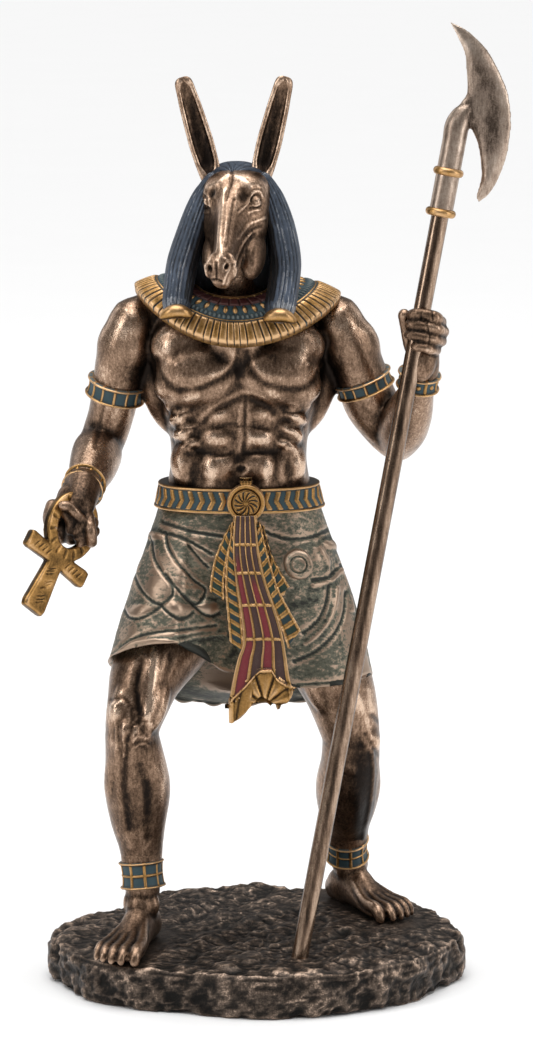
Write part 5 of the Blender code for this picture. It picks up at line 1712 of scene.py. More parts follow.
@dataclass
class Belt:
    """The belt with its chevrons, and the round clasp with curved spokes."""

    rings: Sequence = table("129.6,-3.8,4.9,25,15.5 131.5,-3.85,4.9,24.7,15.3 133.2,-3.9,4.9,24.3,15 "
                            "135,-3.95,4.9,23.9,14.7 136.9,-4,4.9,23.4,14.4")
    clasp: tuple[float, float] = (246.0, 503.2)

    def build(self) -> None:
        """Makes the pieces."""
        sides, levels = 520, 32
        rows = column_rows(smooth_path(self.rings, levels), sides)
        front = rows[levels // 2]
        step = np.linalg.norm(np.roll(front, -1, axis=0) - front, axis=1)
        run = np.concatenate([[0], np.cumsum(step)[:-1]])
        start = int(np.argmin(np.where(front[:, 1] < 0, np.abs(front[:, 0] + 2.1), 99)))
        whole = step.sum()
        run = (run - run[start] + whole / 2) % whole - whole / 2
        across = np.abs(run)[None, :] + 0 * rows[..., 0]
        up = np.linspace(-1, 1, levels)[:, None] + 0 * across
        rim = np.maximum(ridge(up, -0.88, 0.13), ridge(up, 0.88, 0.13))
        phase = ((across - np.abs(up) * 1.6 - 4.4) / 3.2) % 1.0
        chevron = ridge(phase, 0.5, 0.24) * (np.abs(up) < 0.7)
        height = 0.55 * rim + 0.38 * chevron
        gold = np.maximum(rim > 0.2, chevron > 0.2) * 1.0
        heart = vec(-3.9, 4.9, 0)
        way = rows - heart
        way[..., 2] = 0
        shell = rows + unit(way) * (height[..., None] + 0.15)
        bottom, top = shell[:1] - unit(way[:1]) * 2.5, shell[-1:] - unit(way[-1:]) * 2.5
        form = Form.woven(np.concatenate([bottom, shell, top]), around=True, capped=True)
        pad = np.ones((1, sides)) * 0.8
        form.paint("gold", np.concatenate([pad, gold, pad]).ravel())
        # Painted shade on the faces that look upwards, where the belt meets the body.
        form.rubbed_and_painted_light -= 0.5 * rounded_ramp(form.normals[:, 2], 0.5, 0.9)
        form.piece("belt", Finish.TRIM, "figure", gain=1.25)
        self.disc()

    def disc(self) -> None:
        """Makes the clasp: a rim, a ring of curved spokes and the tab on top."""
        middle = PHOTO.place(np.array([self.clasp]), lambda x, z: 0 * x - 12.6)[0]
        turn = circle(180)
        rows, gold = [], []
        for far in np.linspace(5.2, 0.1, 44):
            rim = 0.75 * float(ridge(np.array(far), 4.6, 0.62)) + 0.3 * float(ridge(np.array(far), 3.45, 0.3))
            swirl = np.abs(np.cos(turn * 6 + far * 1.15)) ** 0.8
            inner = np.where((far < 3.2) & (far > 0.9), 0.55 * swirl,
                             0.0) + 0.6 * float(ridge(np.array(far), 0, 1.0))
            height = 1.1 + rim + inner
            rows.append(middle + np.outer(np.cos(turn) * far * 1.08, RIGHTWARDS)
                        + np.outer(np.sin(turn) * far * 1.08, UP)
                        - np.outer(height, vec(0, 1, -0.12)))
            gold.append(np.where((far < 3.3) & (swirl < 0.45) & (far > 1.0), 0.0, 1.0))
        base = rows[0] + vec(0, 2.4, 0)
        form = Form.woven(np.array([base, *rows]), around=True, capped=True)
        form.paint("gold", np.array([np.ones(180), *gold]).ravel())
        form.piece("belt_clasp", Finish.TRIM, "figure", gain=1.4)
        across = np.linspace(-1, 1, 33)[None, :]
        down = np.linspace(0, 1, 18)[:, None]
        half = 2.2 - 0.7 * down
        x = middle[0] + half * across
        z = middle[2] + 7.0 - down * 2.4
        y = middle[1] - 0.9 - 0.5 * (1 - across ** 2) - 0.35 * ridge(down, 0.15,
                                                                     0.18) - 0.2 * np.abs(np.cos(across * 7))
        tab = Form.woven(slab(np.stack([x + 0 * down, y + 0 * down, z + 0 * across], axis=-1), 2.0),
                         around=True, capped=True)
        tab.piece("clasp_tab", Finish.GOLD, "figure", gain=1.3)


@dataclass
class Drapes:
    """The long crimson tongue with its gold end, and the striped sash ends beside it."""

    path: Sequence = table("128.5,-15.2 119,-19.4 109,-22.2 98,-24.3 88,-25.8 79,-26.7 66,-27.3")

    def depth(self, proud: float) -> Callable[[Array, Array], Array]:
        """A surface that stands proud of the tongue's path, in mm."""
        z, y = np.array(self.path[::-1]).T
        return lambda x, high: np.interp(high, z, y) - proud

    @staticmethod
    def edge(line: Pixels, down: Array) -> Array:
        """How far across an edge lies at each height on the photograph.

        Args:
            line: Corners of the edge.
            down: The heights.

        Returns:
            A place across for each height.
        """
        corners = smooth_path(line, len(line) * 8)
        corners = corners[np.argsort(corners[:, 1])]
        return np.interp(down, corners[:, 1], corners[:, 0])

    def strip(self, left: Pixels, right: Pixels, top: float, bottom: Callable[[Array], Array],
              proud: float, bow: float, size: tuple[int, int]) -> tuple[Array, Array, Array]:
        """Lays a strip between two edges drawn on the photograph.

        Args:
            left: Its left edge.
            right: Its right edge.
            top: Where it starts, in pixels down.
            bottom: Where it ends, for each share of its width.
            proud: How far it stands before the tongue's path, in mm.
            bow: How far its middle bows out, in mm.
            size: Points down and across.

        Returns:
            Points, shares across, and pixels down, each as rows.
        """
        share = np.linspace(0, 1, size[1])[None, :] + np.zeros((size[0], 1))
        fall = np.linspace(0, 1, size[0])[:, None]
        down = top + fall * (bottom(share) - top)
        across = self.edge(left, down) * (1 - share) + self.edge(right, down) * share
        flat = PHOTO.place(np.stack([across, down], axis=-1).reshape(-1, 2), self.depth(proud))
        rows = flat.reshape(*size, 3)
        rows[..., 1] -= bow * (1 - (2 * share - 1) ** 2)
        return rows, share, down

    @staticmethod
    def stand(rows: Array, height: Array) -> Array:
        """Moves rows out by a height, towards the camera's side.

        Args:
            rows: Points, as rows, columns, 3.
            height: Distance for each point.

        Returns:
            The moved points.
        """
        out = unit(np.cross(np.gradient(rows, axis=0), np.gradient(rows, axis=1)))
        out = np.where(out[..., 1:2] > 0, -out, out)
        return rows + out * height[..., None]

    def dress(self, name: str, rows: Array, gold: Array, tint: Array, finish: Finish,
              thick: float = 1.6) -> None:
        """Turns a strip into a piece.

        Args:
            name: The piece's name.
            rows: Its front.
            gold: Where it is gold.
            tint: Where its paint is the second one.
            finish: Its finish.
            thick: Its thickness in mm.
        """
        form = Form.woven(slab(rows, thick), around=True, capped=True)
        blank = np.zeros_like(gold)
        form.paint("gold", np.concatenate([gold, blank + 0.6], axis=1).ravel())
        form.paint("tint", np.concatenate([tint, blank], axis=1).ravel())
        form.piece(name, finish, "figure", gain=1.25)

    def tongue(self) -> None:
        """Makes the long tongue: four ribbed columns crossed by lines, over a pleated gold end."""
        left = table("235.2,516 233.3,550 236.1,580 240.8,610.5 243.6,640.6 238,659 233.3,678 229.5,700.8 "
                     "229.5,724")
        right = table("254.9,516 256.8,537 258.7,556 264.3,580 273.7,606.7 281.3,631 286,655.6 288.8,674.4 "
                      "292.6,691.4 294,704")

        def bottom(share: Array) -> Array:
            """The zigzag end."""
            return np.interp(share, (0, 0.05, 0.25, 0.48, 0.6, 0.75, 0.9, 1.0),
                             (722, 723, 712, 695, 699, 705.5, 702.6, 692))

        rows, share, down = self.strip(left, right, 516, bottom, 0.3, 0.6, (214, 52))
        zig = np.interp(share, (0, 0.03, 0.17, 0.34, 0.46, 0.69, 0.77, 0.91, 1.0),
                        (704, 699, 689.5, 677, 669.7, 668.8, 678, 684, 686))
        end = down > zig
        rim = np.maximum(ridge(share, 0.03, 0.045), ridge(share, 0.97, 0.045))
        rib = np.maximum.reduce([ridge(share, m, 0.028) for m in (0.27, 0.5, 0.73)])
        cross = np.maximum.reduce([ridge(down, m + 3 * (share - 0.5) ** 2, 1.5)
                                   for m in (544.6, 572.8, 604.8, 638.7)])
        lines = np.maximum(np.maximum(rim, rib * 0.9), cross * 0.8)
        across = self.edge(left, down) * (1 - share) + self.edge(right, down) * share
        swing = np.arctan2(across - 265, 704 - down)
        fold = np.where(across > 252, np.abs(np.cos(swing * 5.0)) ** 0.8,
                        np.abs(np.cos(share * 9.0 + (down - 690) * 0.02)) ** 0.8)
        height = np.where(end, 0.1 + 0.95 * fold + 0.3 * rim,
                          0.42 * lines + 0.25 * np.sin(math.pi * ((share - 0.03) / 0.235 % 1.0)))
        height = height + 0.6 * ridge(down, zig + 1.0, 1.8)
        gold = np.where(end, 1.0, (lines > 0.3) * 1.0)
        tint = (np.where(share < 0.27, rounded_ramp(down, 550, 572), 0.0)
                + np.where((share > 0.5) & (share < 0.73), rounded_ramp(down, 574, 590), 0.0))
        self.dress("apron_tongue", self.stand(rows, height), gold, tint, Finish.DRAPE)

    def sashes(self) -> None:
        """Makes the four striped sash ends."""
        plans = (
            ("sash_a", table("231,526 224.8,537 215.4,557.8 210.7,580.4 209.8,592"),
             table("234,526 231.4,537 224.8,572.8 223.9,598"), 526, (591, 600), -0.4, 0.055),
            ("sash_b", table("233,522 231.4,537 226.7,563.4 225.8,591.7 228.6,625.5 230.5,642"),
             table("237,522 236,545 237,580 241,610.5 243.7,652"), 522, (642, 653), 0.0, 0.05),
            ("sash_c", table("255.5,522 258,550 264,580 273,606 283,633 288,648"),
             table("258.7,522 266,550 275.6,582 285,603 302.9,634"), 522, (648, 629), 0.0, -0.05),
            ("sash_d", table("259,526 266.2,550.3 276.6,595.4 277,600"),
             table("262.5,526 270,554 281.3,574.7 291.6,590"), 526, (597, 586), -0.4, -0.055),
        )
        for name, left, right, top, (low_left, low_right), proud, slant in plans:
            rows, share, down = self.strip(left, right, top, lambda s, a=low_left, b=low_right: a + (b - a) * s,
                                           proud, 0.35, (130, 22))
            phase = (down / 10.4 - share * 0.85 * (1 if slant > 0 else -1)) % 1.0
            stripe = ridge(phase, 0.5, 0.22)
            rim = np.maximum(ridge(share, 0.06, 0.09), ridge(share, 0.94, 0.09))
            height = 0.42 * rim + 0.26 * stripe
            gold = np.maximum(rim > 0.3, stripe > 0.25) * 1.0
            self.dress(name, self.stand(rows, height), gold, (np.floor(down / 10.4) % 2), Finish.STRIPE, 1.3)

    def build(self) -> None:
        """Makes the pieces."""
        self.tongue()
        self.sashes()


@dataclass
class Bands:
    """Armbands, bracelets and anklets: gold rims and a gold grid over teal panels."""

    left_wrist: Sequence = ((48.7, -10.8, 167.6), (49.4, -12.2, 172.2))
    rim: float = 0.4

    def ring(self, name: str, start: Array, end: Array, half: tuple[float, float], reference: Array,
             rows: int, panels: int, studded: bool = False) -> None:
        """Makes one band.

        Args:
            name: The piece's name.
            start: One end on the limb's axis.
            end: The other end.
            half: Its half width and half depth in mm.
            reference: Where its depth points, roughly.
            rows: Rows of panels along the limb.
            panels: Panels round it.
            studded: Whether a stud sits in each panel.
        """
        start, end = np.asarray(start, float), np.asarray(end, float)
        axis = end - start
        length = float(np.linalg.norm(axis))
        along = axis / length
        side = unit(np.cross(along, reference))
        front = np.cross(side, along)
        sides, levels = 220, max(24, int(length / 0.19))
        turn = circle(sides)[None, :]
        share = np.linspace(0, 1, levels)[:, None]
        place = share * length
        rim = np.maximum(ridge(place, self.rim, self.rim), ridge(place, length - self.rim, self.rim)) + 0 * turn
        cross = np.zeros_like(rim)
        for k in range(1, rows):
            cross = np.maximum(cross, ridge(place, length * k / rows, 0.35) + 0 * turn)
        post = ridge((turn * panels / math.tau) % 1.0, 0.5, 0.11) + 0 * place
        lines = np.maximum(cross * 0.8, post * 0.85)
        if studded:
            off = ((turn * panels / math.tau + 0.5) % 1.0 - 0.5) * math.tau / panels * half[0]
            cut = 1 - (off / 0.8) ** 2 - ((place - length / 2) / 0.7) ** 2
            lines = np.maximum(lines, np.clip(cut, 0, None) ** 0.5)
        waist = 0.35 * np.sin(math.pi * share)
        height = np.maximum(0.7 * rim, 0.42 * lines) - waist
        gold = (np.maximum(rim, lines) > 0.3) * 1.0
        ring = (np.cos(turn)[..., None] * side * (half[0] + height)[..., None]
                + np.sin(turn)[..., None] * front * (half[1] + height)[..., None])
        shell = start + along * place[..., None] + ring
        lip = 0.8
        bottom = start + (shell[:1] - start) * lip
        top = end + (shell[-1:] - end) * lip
        form = Form.woven(np.concatenate([bottom, shell, top]), around=True, capped=True)
        pad = np.ones((1, sides))
        form.paint("gold", np.concatenate([pad, gold, pad]).ravel())
        form.piece(name, Finish.TRIM, "figure", gain=1.25)

    def build(self) -> None:
        """Makes the pieces."""
        legs = Legs()
        for side, upper in (("right", RIGHT_UPPER_ARM), ("left", LEFT_UPPER_ARM)):
            high, low = vec(*upper[2][:3]), vec(*upper[3][:3])
            self.ring(side + "_armband", high + (low - high) * -0.08, high + (low - high) * 0.5, (8.5, 9.3),
                      BACK, 1, 14)
        high, low = vec(*RIGHT_FOREARM[3][:3]), vec(*RIGHT_FOREARM[4][:3])
        self.ring("right_bracelet", high + (low - high) * 0.08, high + (low - high) * 0.74, (6.1, 5.8),
                  RIGHTWARDS, 1, 8,
                  studded=True)
        self.ring("left_bracelet", *self.left_wrist, (5.9, 6.4), BACK, 1, 8, studded=True)
        for side, shin, shares, lean in (("right", legs.right_shin, (0.14, 0.775), 0.2),
                                         ("left", legs.left_shin, (0.13, 0.69), 0.0)):
            low, high = vec(*shin[5][:3]), vec(*shin[4][:3])
            self.ring(side + "_anklet", low + (high - low) * shares[0] + RIGHTWARDS * lean,
                      low + (high - low) * shares[1] - RIGHTWARDS * lean, (6.25, 7.0), BACK, 2, 9)


@dataclass
class Ankh:
    """The looped cross in the right hand, with bevelled rims and rows of short scratched strokes."""

    foot: float = 17.6
    arm: float = 12.6
    loop_length: float = 17.4
    loop_width: float = 15.0
    bar: float = 4.0
    thick: float = 2.8
    grain: float = 0.33

    def axes(self) -> tuple[Array, Array, Array, Array]:
        """The crossing, and the directions of the loop, a side arm and the thickness."""
        rise = ANKH_RISE
        arm = vec(0.617, 0.489, -0.617)
        arm = unit(arm - rise * (arm @ rise))
        middle = vec(-52.8, -22.4, 128.1) - rise * 0.3 - arm * 0.4
        return middle - rise * (self.loop_length / 2 + self.bar * 0.6), rise, arm, np.cross(rise, arm)

    def build(self) -> None:
        """Makes the piece."""
        crossing, rise, arm, out = self.axes()
        half, bar = self.thick / 2, self.bar / 2
        length, width = self.loop_length / 2, self.loop_width / 2
        centre = crossing + rise * (length + self.bar * 0.6)
        clay = Clay()
        section = table("1,-0.6 1,0.6 0.86,0.95 0.5,1 -0.5,1 -0.86,0.95 -1,0.6 -1,-0.6 -0.86,-0.95 -0.5,-1 "
                        "0.5,-1 0.86,-0.95")
        rows = []
        for turn in circle(96):
            ray = unit(rise * math.cos(turn) * width + arm * math.sin(turn) * length)
            middle = centre + rise * math.cos(turn) * length + arm * math.sin(turn) * width
            rows.append([middle + ray * bar * a + out * half * b for a, b in section])
        clay.shell(np.array(rows), loop=True)
        for way, long, root, end in ((-rise, self.foot, 1.5, 2.15), (arm, self.arm, 1.15, 1.4),
                                     (-arm, self.arm, 1.15, 1.4),
                                     (rise, self.bar, 1.2, 1.2)):
            across = unit(np.cross(way, out))
            rows = []
            for share in (-0.12, 0.1, 0.3, 0.5, 0.7, 0.9, 0.985, 1.0):
                wide = np.interp(share, (-0.12, 0.15, 0.92, 1.0), (root, root, end, end * 0.86))
                deep = 1.0 if share < 0.99 else 0.85
                rows.append([crossing + way * long * share + across * bar * wide * a + out * half * b * deep
                             for a, b in section])
            clay.shell(np.array(rows))
        form = clay.merged(self.grain, 1)
        self.scratch(form)
        # The plate's sides are painted darker than its faces, over random variation in tone.
        form.rubbed_and_painted_light += 0.26 * uneven(form.points, 3.2, 6,
                                   3) - 0.26 * (1 - rounded_ramp(np.abs(form.normals @ out), 0.3, 0.8))
        form.piece("ankh_gold", Finish.GOLD, "ankh", gain=1.2)

    def scratch(self, form: Form) -> None:
        """Cuts rows of short strokes into both of the skin's faces.

        Args:
            form: The ankh's skin.
        """
        crossing, rise, arm, out = self.axes()
        local = form.points - crossing
        along, across = local @ rise, local @ arm
        flat = rounded_ramp(np.abs(form.normals @ out), 0.75, 0.95)
        cut = np.zeros(len(form.points))
        slots = [(0.6 * math.sin(k), -k, 1.5, 32.0)
                 for k in (3.6, 4.5, 5.4, 7.6, 8.4, 9.2, 10.0, 12.6, 13.5, 14.4)]
        slots += [(side * k, 0.0, 1.2, 62.0) for side in (-1, 1) for k in (4.2, 5.9, 7.6, 9.3)]
        for a, b, reach, lean in slots:
            tilt = math.radians(lean)
            c, s = math.cos(tilt), math.sin(tilt)
            x, y = across - a, along - b
            cut -= 0.24 * np.exp(-((x * c + y * s) / reach) ** 4 - ((y * c - x * s) / 0.22) ** 2)
        centre = self.loop_length / 2 + self.bar * 0.6
        turn = np.arctan2(across / self.loop_width, (along - centre) / self.loop_length)
        ring = np.hypot(across / (self.loop_width / 2), (along - centre) / (self.loop_length / 2))
        on_loop = np.exp(-((ring - 1) / 0.16) ** 4)
        cut -= 0.2 * on_loop * np.clip(np.cos(turn * 15) - 0.35, 0, 1) * 1.5
        form.push(cut * flat + 0.03 * uneven(form.points, 1.5, 3, 2))


# Painted highlights and painted shade on the blade's face.
BLADE_PAINTED_LIGHT = """
rub -0.22 3 | 468,92 469,106 468,122 | 474,118 477,140 480,168
rub 0.2 2.2 | 464,96 455,104 449,114 | 467,122 462,134 460,150
rub 0.14 4 | 456,30 474,48 484,66 | 497,78 504,108 503,136 496,160
rub -0.14 6 | 490,84 494,112 490,150 | 478,62 482,84
"""


@dataclass
class Staff:
    """The long shaft, and the crescent axe head on its socket with two gold rings."""

    length: float = 235.5
    seat: float = 4.7
    socket: float = 7.0
    socket_depth: float = 12.0
    blade: float = 50.8
    blade_thick: float = 3.6
    blade_rise: float = 1.1
    ring: float = 1.1
    shoulder: Sequence = table("9.5,0,3.5,3.5 12.5,-0.1,3.6,3.5 15,0.1,3.5,3.2 17,0.6,3.2,2.7 "
                               "18.8,1.4,2.8,2.2 20,2.4,2,1.6 21.5,3.4,1.4,1.2 23,4,0.8,0.9")
    outer: Sequence = table("-0.16,0.832 -0.032,0.786 0.088,0.704 0.186,0.588 0.254,0.48 0.296,0.354 "
                            "0.312,0.234 0.312,0.112 0.288,-0.016 0.252,-0.108 0.204,-0.164")
    inner: Sequence = table("0.18,-0.13 0.19,-0.024 0.172,0.062 0.13,0.174 0.06,0.262 -0.03,0.3 -0.01,0.37 "
                            "0.018,0.444 -0.004,0.552 -0.036,0.66 -0.1,0.754")

    @staticmethod
    def at(distance: float) -> Array:
        """A point on the shaft's line, in mm above the base's top."""
        return SHAFT_FOOT + SHAFT_LINE * distance

    @staticmethod
    def frame() -> tuple[Array, Array]:
        """The directions across the blade and through it."""
        across = unit(RIGHTWARDS - SHAFT_LINE * SHAFT_LINE[0])
        return across, unit(np.cross(SHAFT_LINE, across))

    def tube(self, start: float, end: float, radius: float, sides: int, levels: int) -> Array:
        """Rows of rings on the shaft's line between two distances.

        Args:
            start: Distance of the first ring.
            end: Distance of the last.
            radius: The rings' radius.
            sides: Points in a ring.
            levels: Number of rings.

        Returns:
            The rings, as rings, points, 3.
        """
        across, out = self.frame()
        turn = circle(sides)
        ring = np.outer(np.cos(turn), across) + np.outer(np.sin(turn), out)
        return np.array([self.at(d) + ring * radius for d in np.linspace(start, end, levels)])

    def shaft(self) -> None:
        """Makes the shaft."""
        rows = self.tube(-self.seat, self.length, SHAFT_RADIUS, 40, 260)
        form = Form.woven(rows, around=True, capped=True)
        form.push(0.03 * uneven(form.points * vec(1, 1, 0.25), 2.2, 5, 3) - 0.03)
        # Painted reflection on the rod: by how each side faces the camera, it is dark down the middle and along
        # the outline and bright in two bands between, over random variation.
        band = np.abs(form.normals @ unit(np.cross(SHAFT_LINE, PHOTO.toward())))
        painted_reflection = 0.42 * rounded_ramp(band, 0.05, 0.45) - 0.5 * rounded_ramp(band, 0.88, 1.0) - 0.12
        shine = 0.5 + painted_reflection + 0.28 * uneven(form.points * vec(1, 1, 0.12), 2.0, 9, 3)
        form.paint("relief", np.clip(shine, 0, 1))
        form.piece("shaft", Finish.SHAFT, "staff_shaft")

    def rings(self, mouth: float, neck: float) -> None:
        """Makes the two gold rings.

        Args:
            mouth: Distance of the socket's mouth.
            neck: Distance of its neck.
        """
        across, out = self.frame()
        for name, place in (("lower_ring", mouth + self.ring), ("upper_ring", neck)):
            rows = []
            for turn in circle(90):
                ray = across * math.cos(turn) + out * math.sin(turn)
                rows.append([self.at(place) + ray * (self.socket / 2 - 0.1 + self.ring * math.cos(a))
                             + SHAFT_LINE * self.ring * 1.1 * math.sin(a)
                             for a in circle(18)])
            form = Form.woven(np.array(rows), around=True, loop=True)
            form.push(0.04 * uneven(form.points, 1.5, 2, 2))
            form.paint("relief", np.clip(0.66 + 0.3 * uneven(form.points, 2.0, 4, 2), 0, 1))
            form.piece(name, Finish.GOLD, "axe_head")

    def build(self) -> None:
        """Makes the pieces."""
        self.shaft()
        mouth = self.length - self.socket_depth
        neck = mouth + self.blade * 0.28 - self.ring
        self.rings(mouth, neck)
        across, out = self.frame()
        clay = Clay()
        clay.shell(self.tube(mouth, neck + 10.0, self.socket / 2, 64, 20))
        top = self.at(neck)
        turn = circle(48)
        rows = [self.at(neck + up) + across * lean + np.outer(np.cos(turn), across) * wide
                + np.outer(np.sin(turn), out) * deep
                for up, lean, wide, deep in smooth_path(self.shoulder, 40)]
        clay.shell(np.array(rows))
        outer = smooth_path(self.outer, 140)
        inner = smooth_path(self.inner, 140)[::-1]
        share = np.linspace(0, 1, 30)
        taper = np.clip(np.minimum(np.linspace(0, 1, 140) * 5, (1 - np.linspace(0, 1, 140)) * 7), 0.12, 1)
        rows = []
        for a, b, t in zip(outer, inner, taper):
            line = a[None] * (1 - share[:, None]) + b[None] * share[:, None]
            lens = (1 - np.abs(2 * share - 1) ** 1.7) ** 0.8 * self.blade_thick / 2 * t + 0.1
            flat = top + SHAFT_LINE * self.blade_rise + (np.outer(line[:, 0], across)
                                                         + np.outer(line[:, 1], SHAFT_LINE)) * self.blade
            rows.append(np.concatenate([flat + np.outer(lens, out), (flat - np.outer(lens, out))[::-1]]))
        clay.shell(np.array(rows))
        form = clay.merged(0.41, 2)
        form.carve(BLADE_PAINTED_LIGHT)
        form.push(0.05 * uneven(form.points * vec(1, 1, 0.5), 2.5, 6, 3))
        form.rubbed_and_painted_light += 0.12 * uneven(form.points * vec(1, 1, 0.22), 2.2, 7, 3)
        form.piece("axe_blade", Finish.BLADE, "axe_head", gain=1.2)


@dataclass
class Rock:
    """The rough rock slab, level under the feet and flat underneath."""

    wide: float = 128.0
    deep: float = 108.0
    thick: float = 13.0
    outline: Sequence = table("64,-4 60,14 53,29 43,44 28,49.5 14.8,50.5 -0.9,54 -14,52.5 -27.5,49 -36,38 "
                              "-44,26 -53,15 -59,5 -61.5,-6 -57.5,-19 -49.5,-32 -39,-40.5 -22,-47 "
                              "-0.6,-52.5 14,-52 30,-47.5 42,-40 51,-32 59,-18")
    feet: Sequence = (((-30, -5), (-40, -42)), ((24.5, 40), (46, 8)), ((14, -32.4), (14, -32.4)))

    @staticmethod
    def wave(x: Array, y: Array, seed: float) -> Array:
        """The solid's own even unevenness, between -1 and 1."""
        return (np.sin(x * 1.7 + seed) * np.cos(y * 1.3 - seed * 0.7)
                + 0.6 * np.sin(x * 3.9 - y * 2.8 + seed * 1.9) + 0.4 * np.cos(x * 5.3 + y * 6.1 + seed)) / 2

    def clear(self, x: Array, y: Array, start: float = 11.0, run: float = 8.0) -> Array:
        """0 under the feet and the shaft, rising to 1 away from them.

        Args:
            x: Points across.
            y: Points in depth.
            start: Distance where the rise starts.
            run: Distance that it takes.

        Returns:
            A value for each point.
        """
        nearest = np.full(x.shape, 1e9)
        spots = np.stack([x, y], axis=-1)
        for first, last in self.feet:
            a, way = vec(*first), vec(*last) - vec(*first)
            share = np.clip(((spots - a) @ way) / max(way @ way, 1e-9), 0, 1)
            reach = 5.5 if way @ way < 1 else 0.0
            nearest = np.minimum(nearest, np.linalg.norm(spots - a - share[..., None] * way, axis=-1) + reach)
        return np.clip((nearest - start) / run, 0, 1)

    def build(self) -> None:
        """Makes the piece."""
        sides = 384
        line = smooth_path([(x / 128 * self.wide, y / 108 * self.deep) for x, y in self.outline], sides,
                           closed=True)
        rows = []
        for height in np.linspace(0, 0.95, 20):
            inset = np.interp(height, (0, 0.2, 0.5, 0.8, 0.95), (0.985, 1.0, 1.005, 1.0, 0.98))
            bend = 1 + 0.008 * self.wave(line[:, 0] * 0.18, line[:, 1] * 0.18, height * 5)
            rows.append(np.concatenate([line * inset * bend[:, None],
                                        np.full((sides, 1), self.thick * height)], axis=1))
        relief = self.thick * 0.13
        for inset in np.concatenate([np.linspace(0.97, 0.55, 48), np.linspace(0.54, 0.02, 42)]):
            flat = line * inset
            lift = relief * self.wave(flat[:, 0] * 0.11, flat[:, 1] * 0.11, 2)
            lift = lift * self.clear(flat[:, 0], flat[:, 1])
            lift = lift * rounded_ramp(np.array(0.99 - inset), 0.0,
                                       0.06) - 0.65 * rounded_ramp(np.array(inset), 0.9, 0.98)
            rows.append(np.concatenate([flat, (self.thick + lift)[:, None]], axis=1))
        rows = np.array(rows) - UP * LIFT
        form = Form.woven(rows, around=True, capped=True)
        self.weather(form)
        form.piece("rock", Finish.ROCK, "rock_base", gain=0.9)

    def weather(self, form: Form) -> None:
        """Breaks the slab's skin into rough rock, and keeps it inside the solid's box.

        Args:
            form: The rock's skin.
        """
        low, high = (np.array(corner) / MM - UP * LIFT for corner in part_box("rock_base"))
        x, y, z = form.points.T
        floor = -LIFT
        open_ground = self.clear(x, y, 5.0, 4.0)
        side = 1 - rounded_ramp(form.normals[:, 2], 0.3, 0.8)
        free = np.maximum(open_ground, side)
        crag = np.tanh(3.0 * uneven(form.points, 12.0, 2, 3))
        flake = np.clip(1 - 3.4 * np.abs(uneven(form.points * vec(0.7, 1, 1), 5.5, 5, 3)), -1, 1)
        splinter = np.clip(1 - 3.4 * np.abs(uneven(form.points * vec(0.8, 1, 1), 2.4, 12, 2)), -1, 1)
        pebble = uneven(form.points, 1.4, 9, 3)
        amount = (0.42 * crag + 0.5 * flake + 0.2 * splinter + 0.16 * pebble) * free
        amount += side * (0.55 * crag + 0.15 * flake - 0.75)
        form.rubbed_and_painted_light += free * ((0.26 - 0.14 * side)
                             * (np.clip(flake * 2.0 - 1.2, 0, 1) + np.clip(splinter * 2.0 - 1.2, 0, 1)) - 0.09)
        amount += 0.1 * pebble * (1 - free)
        amount = np.where(z < floor + 0.4, np.minimum(amount, 0), amount)
        form.push(np.clip(amount, -2.2, 1.5))
        form.points[:, 2] = np.maximum(form.points[:, 2], floor)
        form.points = np.clip(form.points, low + 0.02, np.maximum(high, low + 1))
        form.look()


# The studio


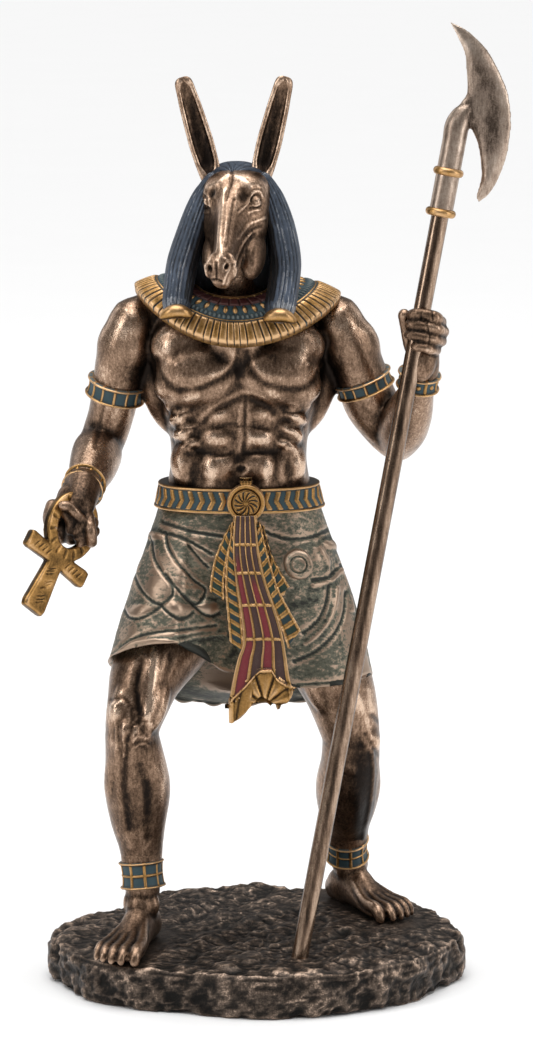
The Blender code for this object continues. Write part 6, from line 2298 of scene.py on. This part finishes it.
@dataclass
class Stage:
    """The pale floor, the soft lights and the camera."""

    lens: float = 4745 / 1041 * 36
    floor: float = 9.0

    def ground(self) -> None:
        """Lays the floor."""
        mesh = bpy.data.meshes.new("floor")
        steps = np.linspace(-self.floor, self.floor, 25)
        points = [(x, y, -0.0002) for y in steps for x in steps]
        faces = [(j * 25 + i, j * 25 + i + 1, (j + 1) * 25 + i + 1, (j + 1) * 25 + i) for j in range(24)
                 for i in range(24)]
        mesh.from_pydata(points, [], faces)
        made = bpy.data.objects.new("floor", mesh)
        bpy.context.scene.collection.objects.link(made)
        made.data.materials.append(Studio().made())

    @staticmethod
    def light(name: str, place: Sequence[float], size: tuple[float, float], power: float,
              colour: Colour = (1, 1, 1)) -> None:
        """Hangs one soft light that looks at the figure.

        Args:
            name: The light's name.
            place: Where it hangs, in metres.
            size: Its width and height in metres.
            power: Its power in watts.
            colour: Its colour.
        """
        lamp = bpy.data.lights.new(name, "AREA")
        lamp.shape = "RECTANGLE"
        lamp.size, lamp.size_y = size
        lamp.energy = power
        lamp.color = colour
        made = bpy.data.objects.new(name, lamp)
        bpy.context.scene.collection.objects.link(made)
        made.location = place
        made.rotation_mode = "QUATERNION"
        made.rotation_quaternion = (Vector((0, 0, 0.15)) - Vector(place)).to_track_quat("-Z", "Y")

    def camera(self) -> None:
        """Sets up the photograph's camera."""
        lens = bpy.data.cameras.new("photo_camera")
        lens.lens = self.lens
        lens.sensor_fit = "VERTICAL"
        lens.sensor_height = 36
        lens.clip_start = 0.1
        made = bpy.data.objects.new("photo_camera", lens)
        bpy.context.scene.collection.objects.link(made)
        made.location = (PHOTO.side * MM, -PHOTO.distance * MM, PHOTO.height * MM)
        made.rotation_euler = (math.radians(90 - PHOTO.pitch), 0, 0)
        bpy.context.scene.camera = made

    def build(self) -> None:
        """Makes the studio."""
        self.ground()
        self.light("key_left", (-1.05, -0.6, 0.75), (0.45, 0.9), 5.0)
        self.light("fill_right", (1.1, -0.5, 0.55), (0.4, 0.9), 4.0)
        self.light("top_front", (-0.1, -0.8, 1.25), (0.7, 0.5), 1.4)
        self.light("back_left", (-0.8, 0.7, 0.6), (0.5, 0.8), 1.6)
        self.light("back_right", (0.8, 0.7, 0.6), (0.5, 0.8), 1.6)
        sun = bpy.data.lights.new("overhead", "SUN")
        sun.energy = 2.85
        sun.angle = math.radians(60)
        made = bpy.data.objects.new("overhead", sun)
        bpy.context.scene.collection.objects.link(made)
        world = bpy.data.worlds.new("studio")
        world.use_nodes = True
        ground = world.node_tree.nodes["Background"]
        ground.inputs["Color"].default_value = (1, 1, 1, 1)
        ground.inputs["Strength"].default_value = 0.2
        bpy.context.scene.world = world
        bpy.context.scene.view_settings.view_transform = "Standard"
        self.camera()


def corners(box: tuple[Vector, Vector]) -> list[list[float]]:
    """A box as plain lists of numbers."""
    return [[round(float(x), 6) for x in corner] for corner in box]


def main() -> None:
    """Builds the scene in order, logging each part's name and each piece's face count."""
    logging.basicConfig(level=logging.INFO, format="%(name)s %(message)s")
    kept = {*frame["nodes"].values(), *frame["bodies"].values()}
    for item in [found for found in bpy.data.objects if found not in kept]:
        bpy.data.objects.remove(item)
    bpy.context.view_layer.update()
    for part in (Body(), Legs(), Hands(), Head(), Wig(), Collar(), Kilt(), Belt(), Drapes(), Bands(),
                 Ankh(), Staff(), Rock(), Stage()):
        LOG.info("building %s", type(part).__name__)
        part.build()
    bpy.context.view_layer.update()


if __name__ == "__main__":
    main()
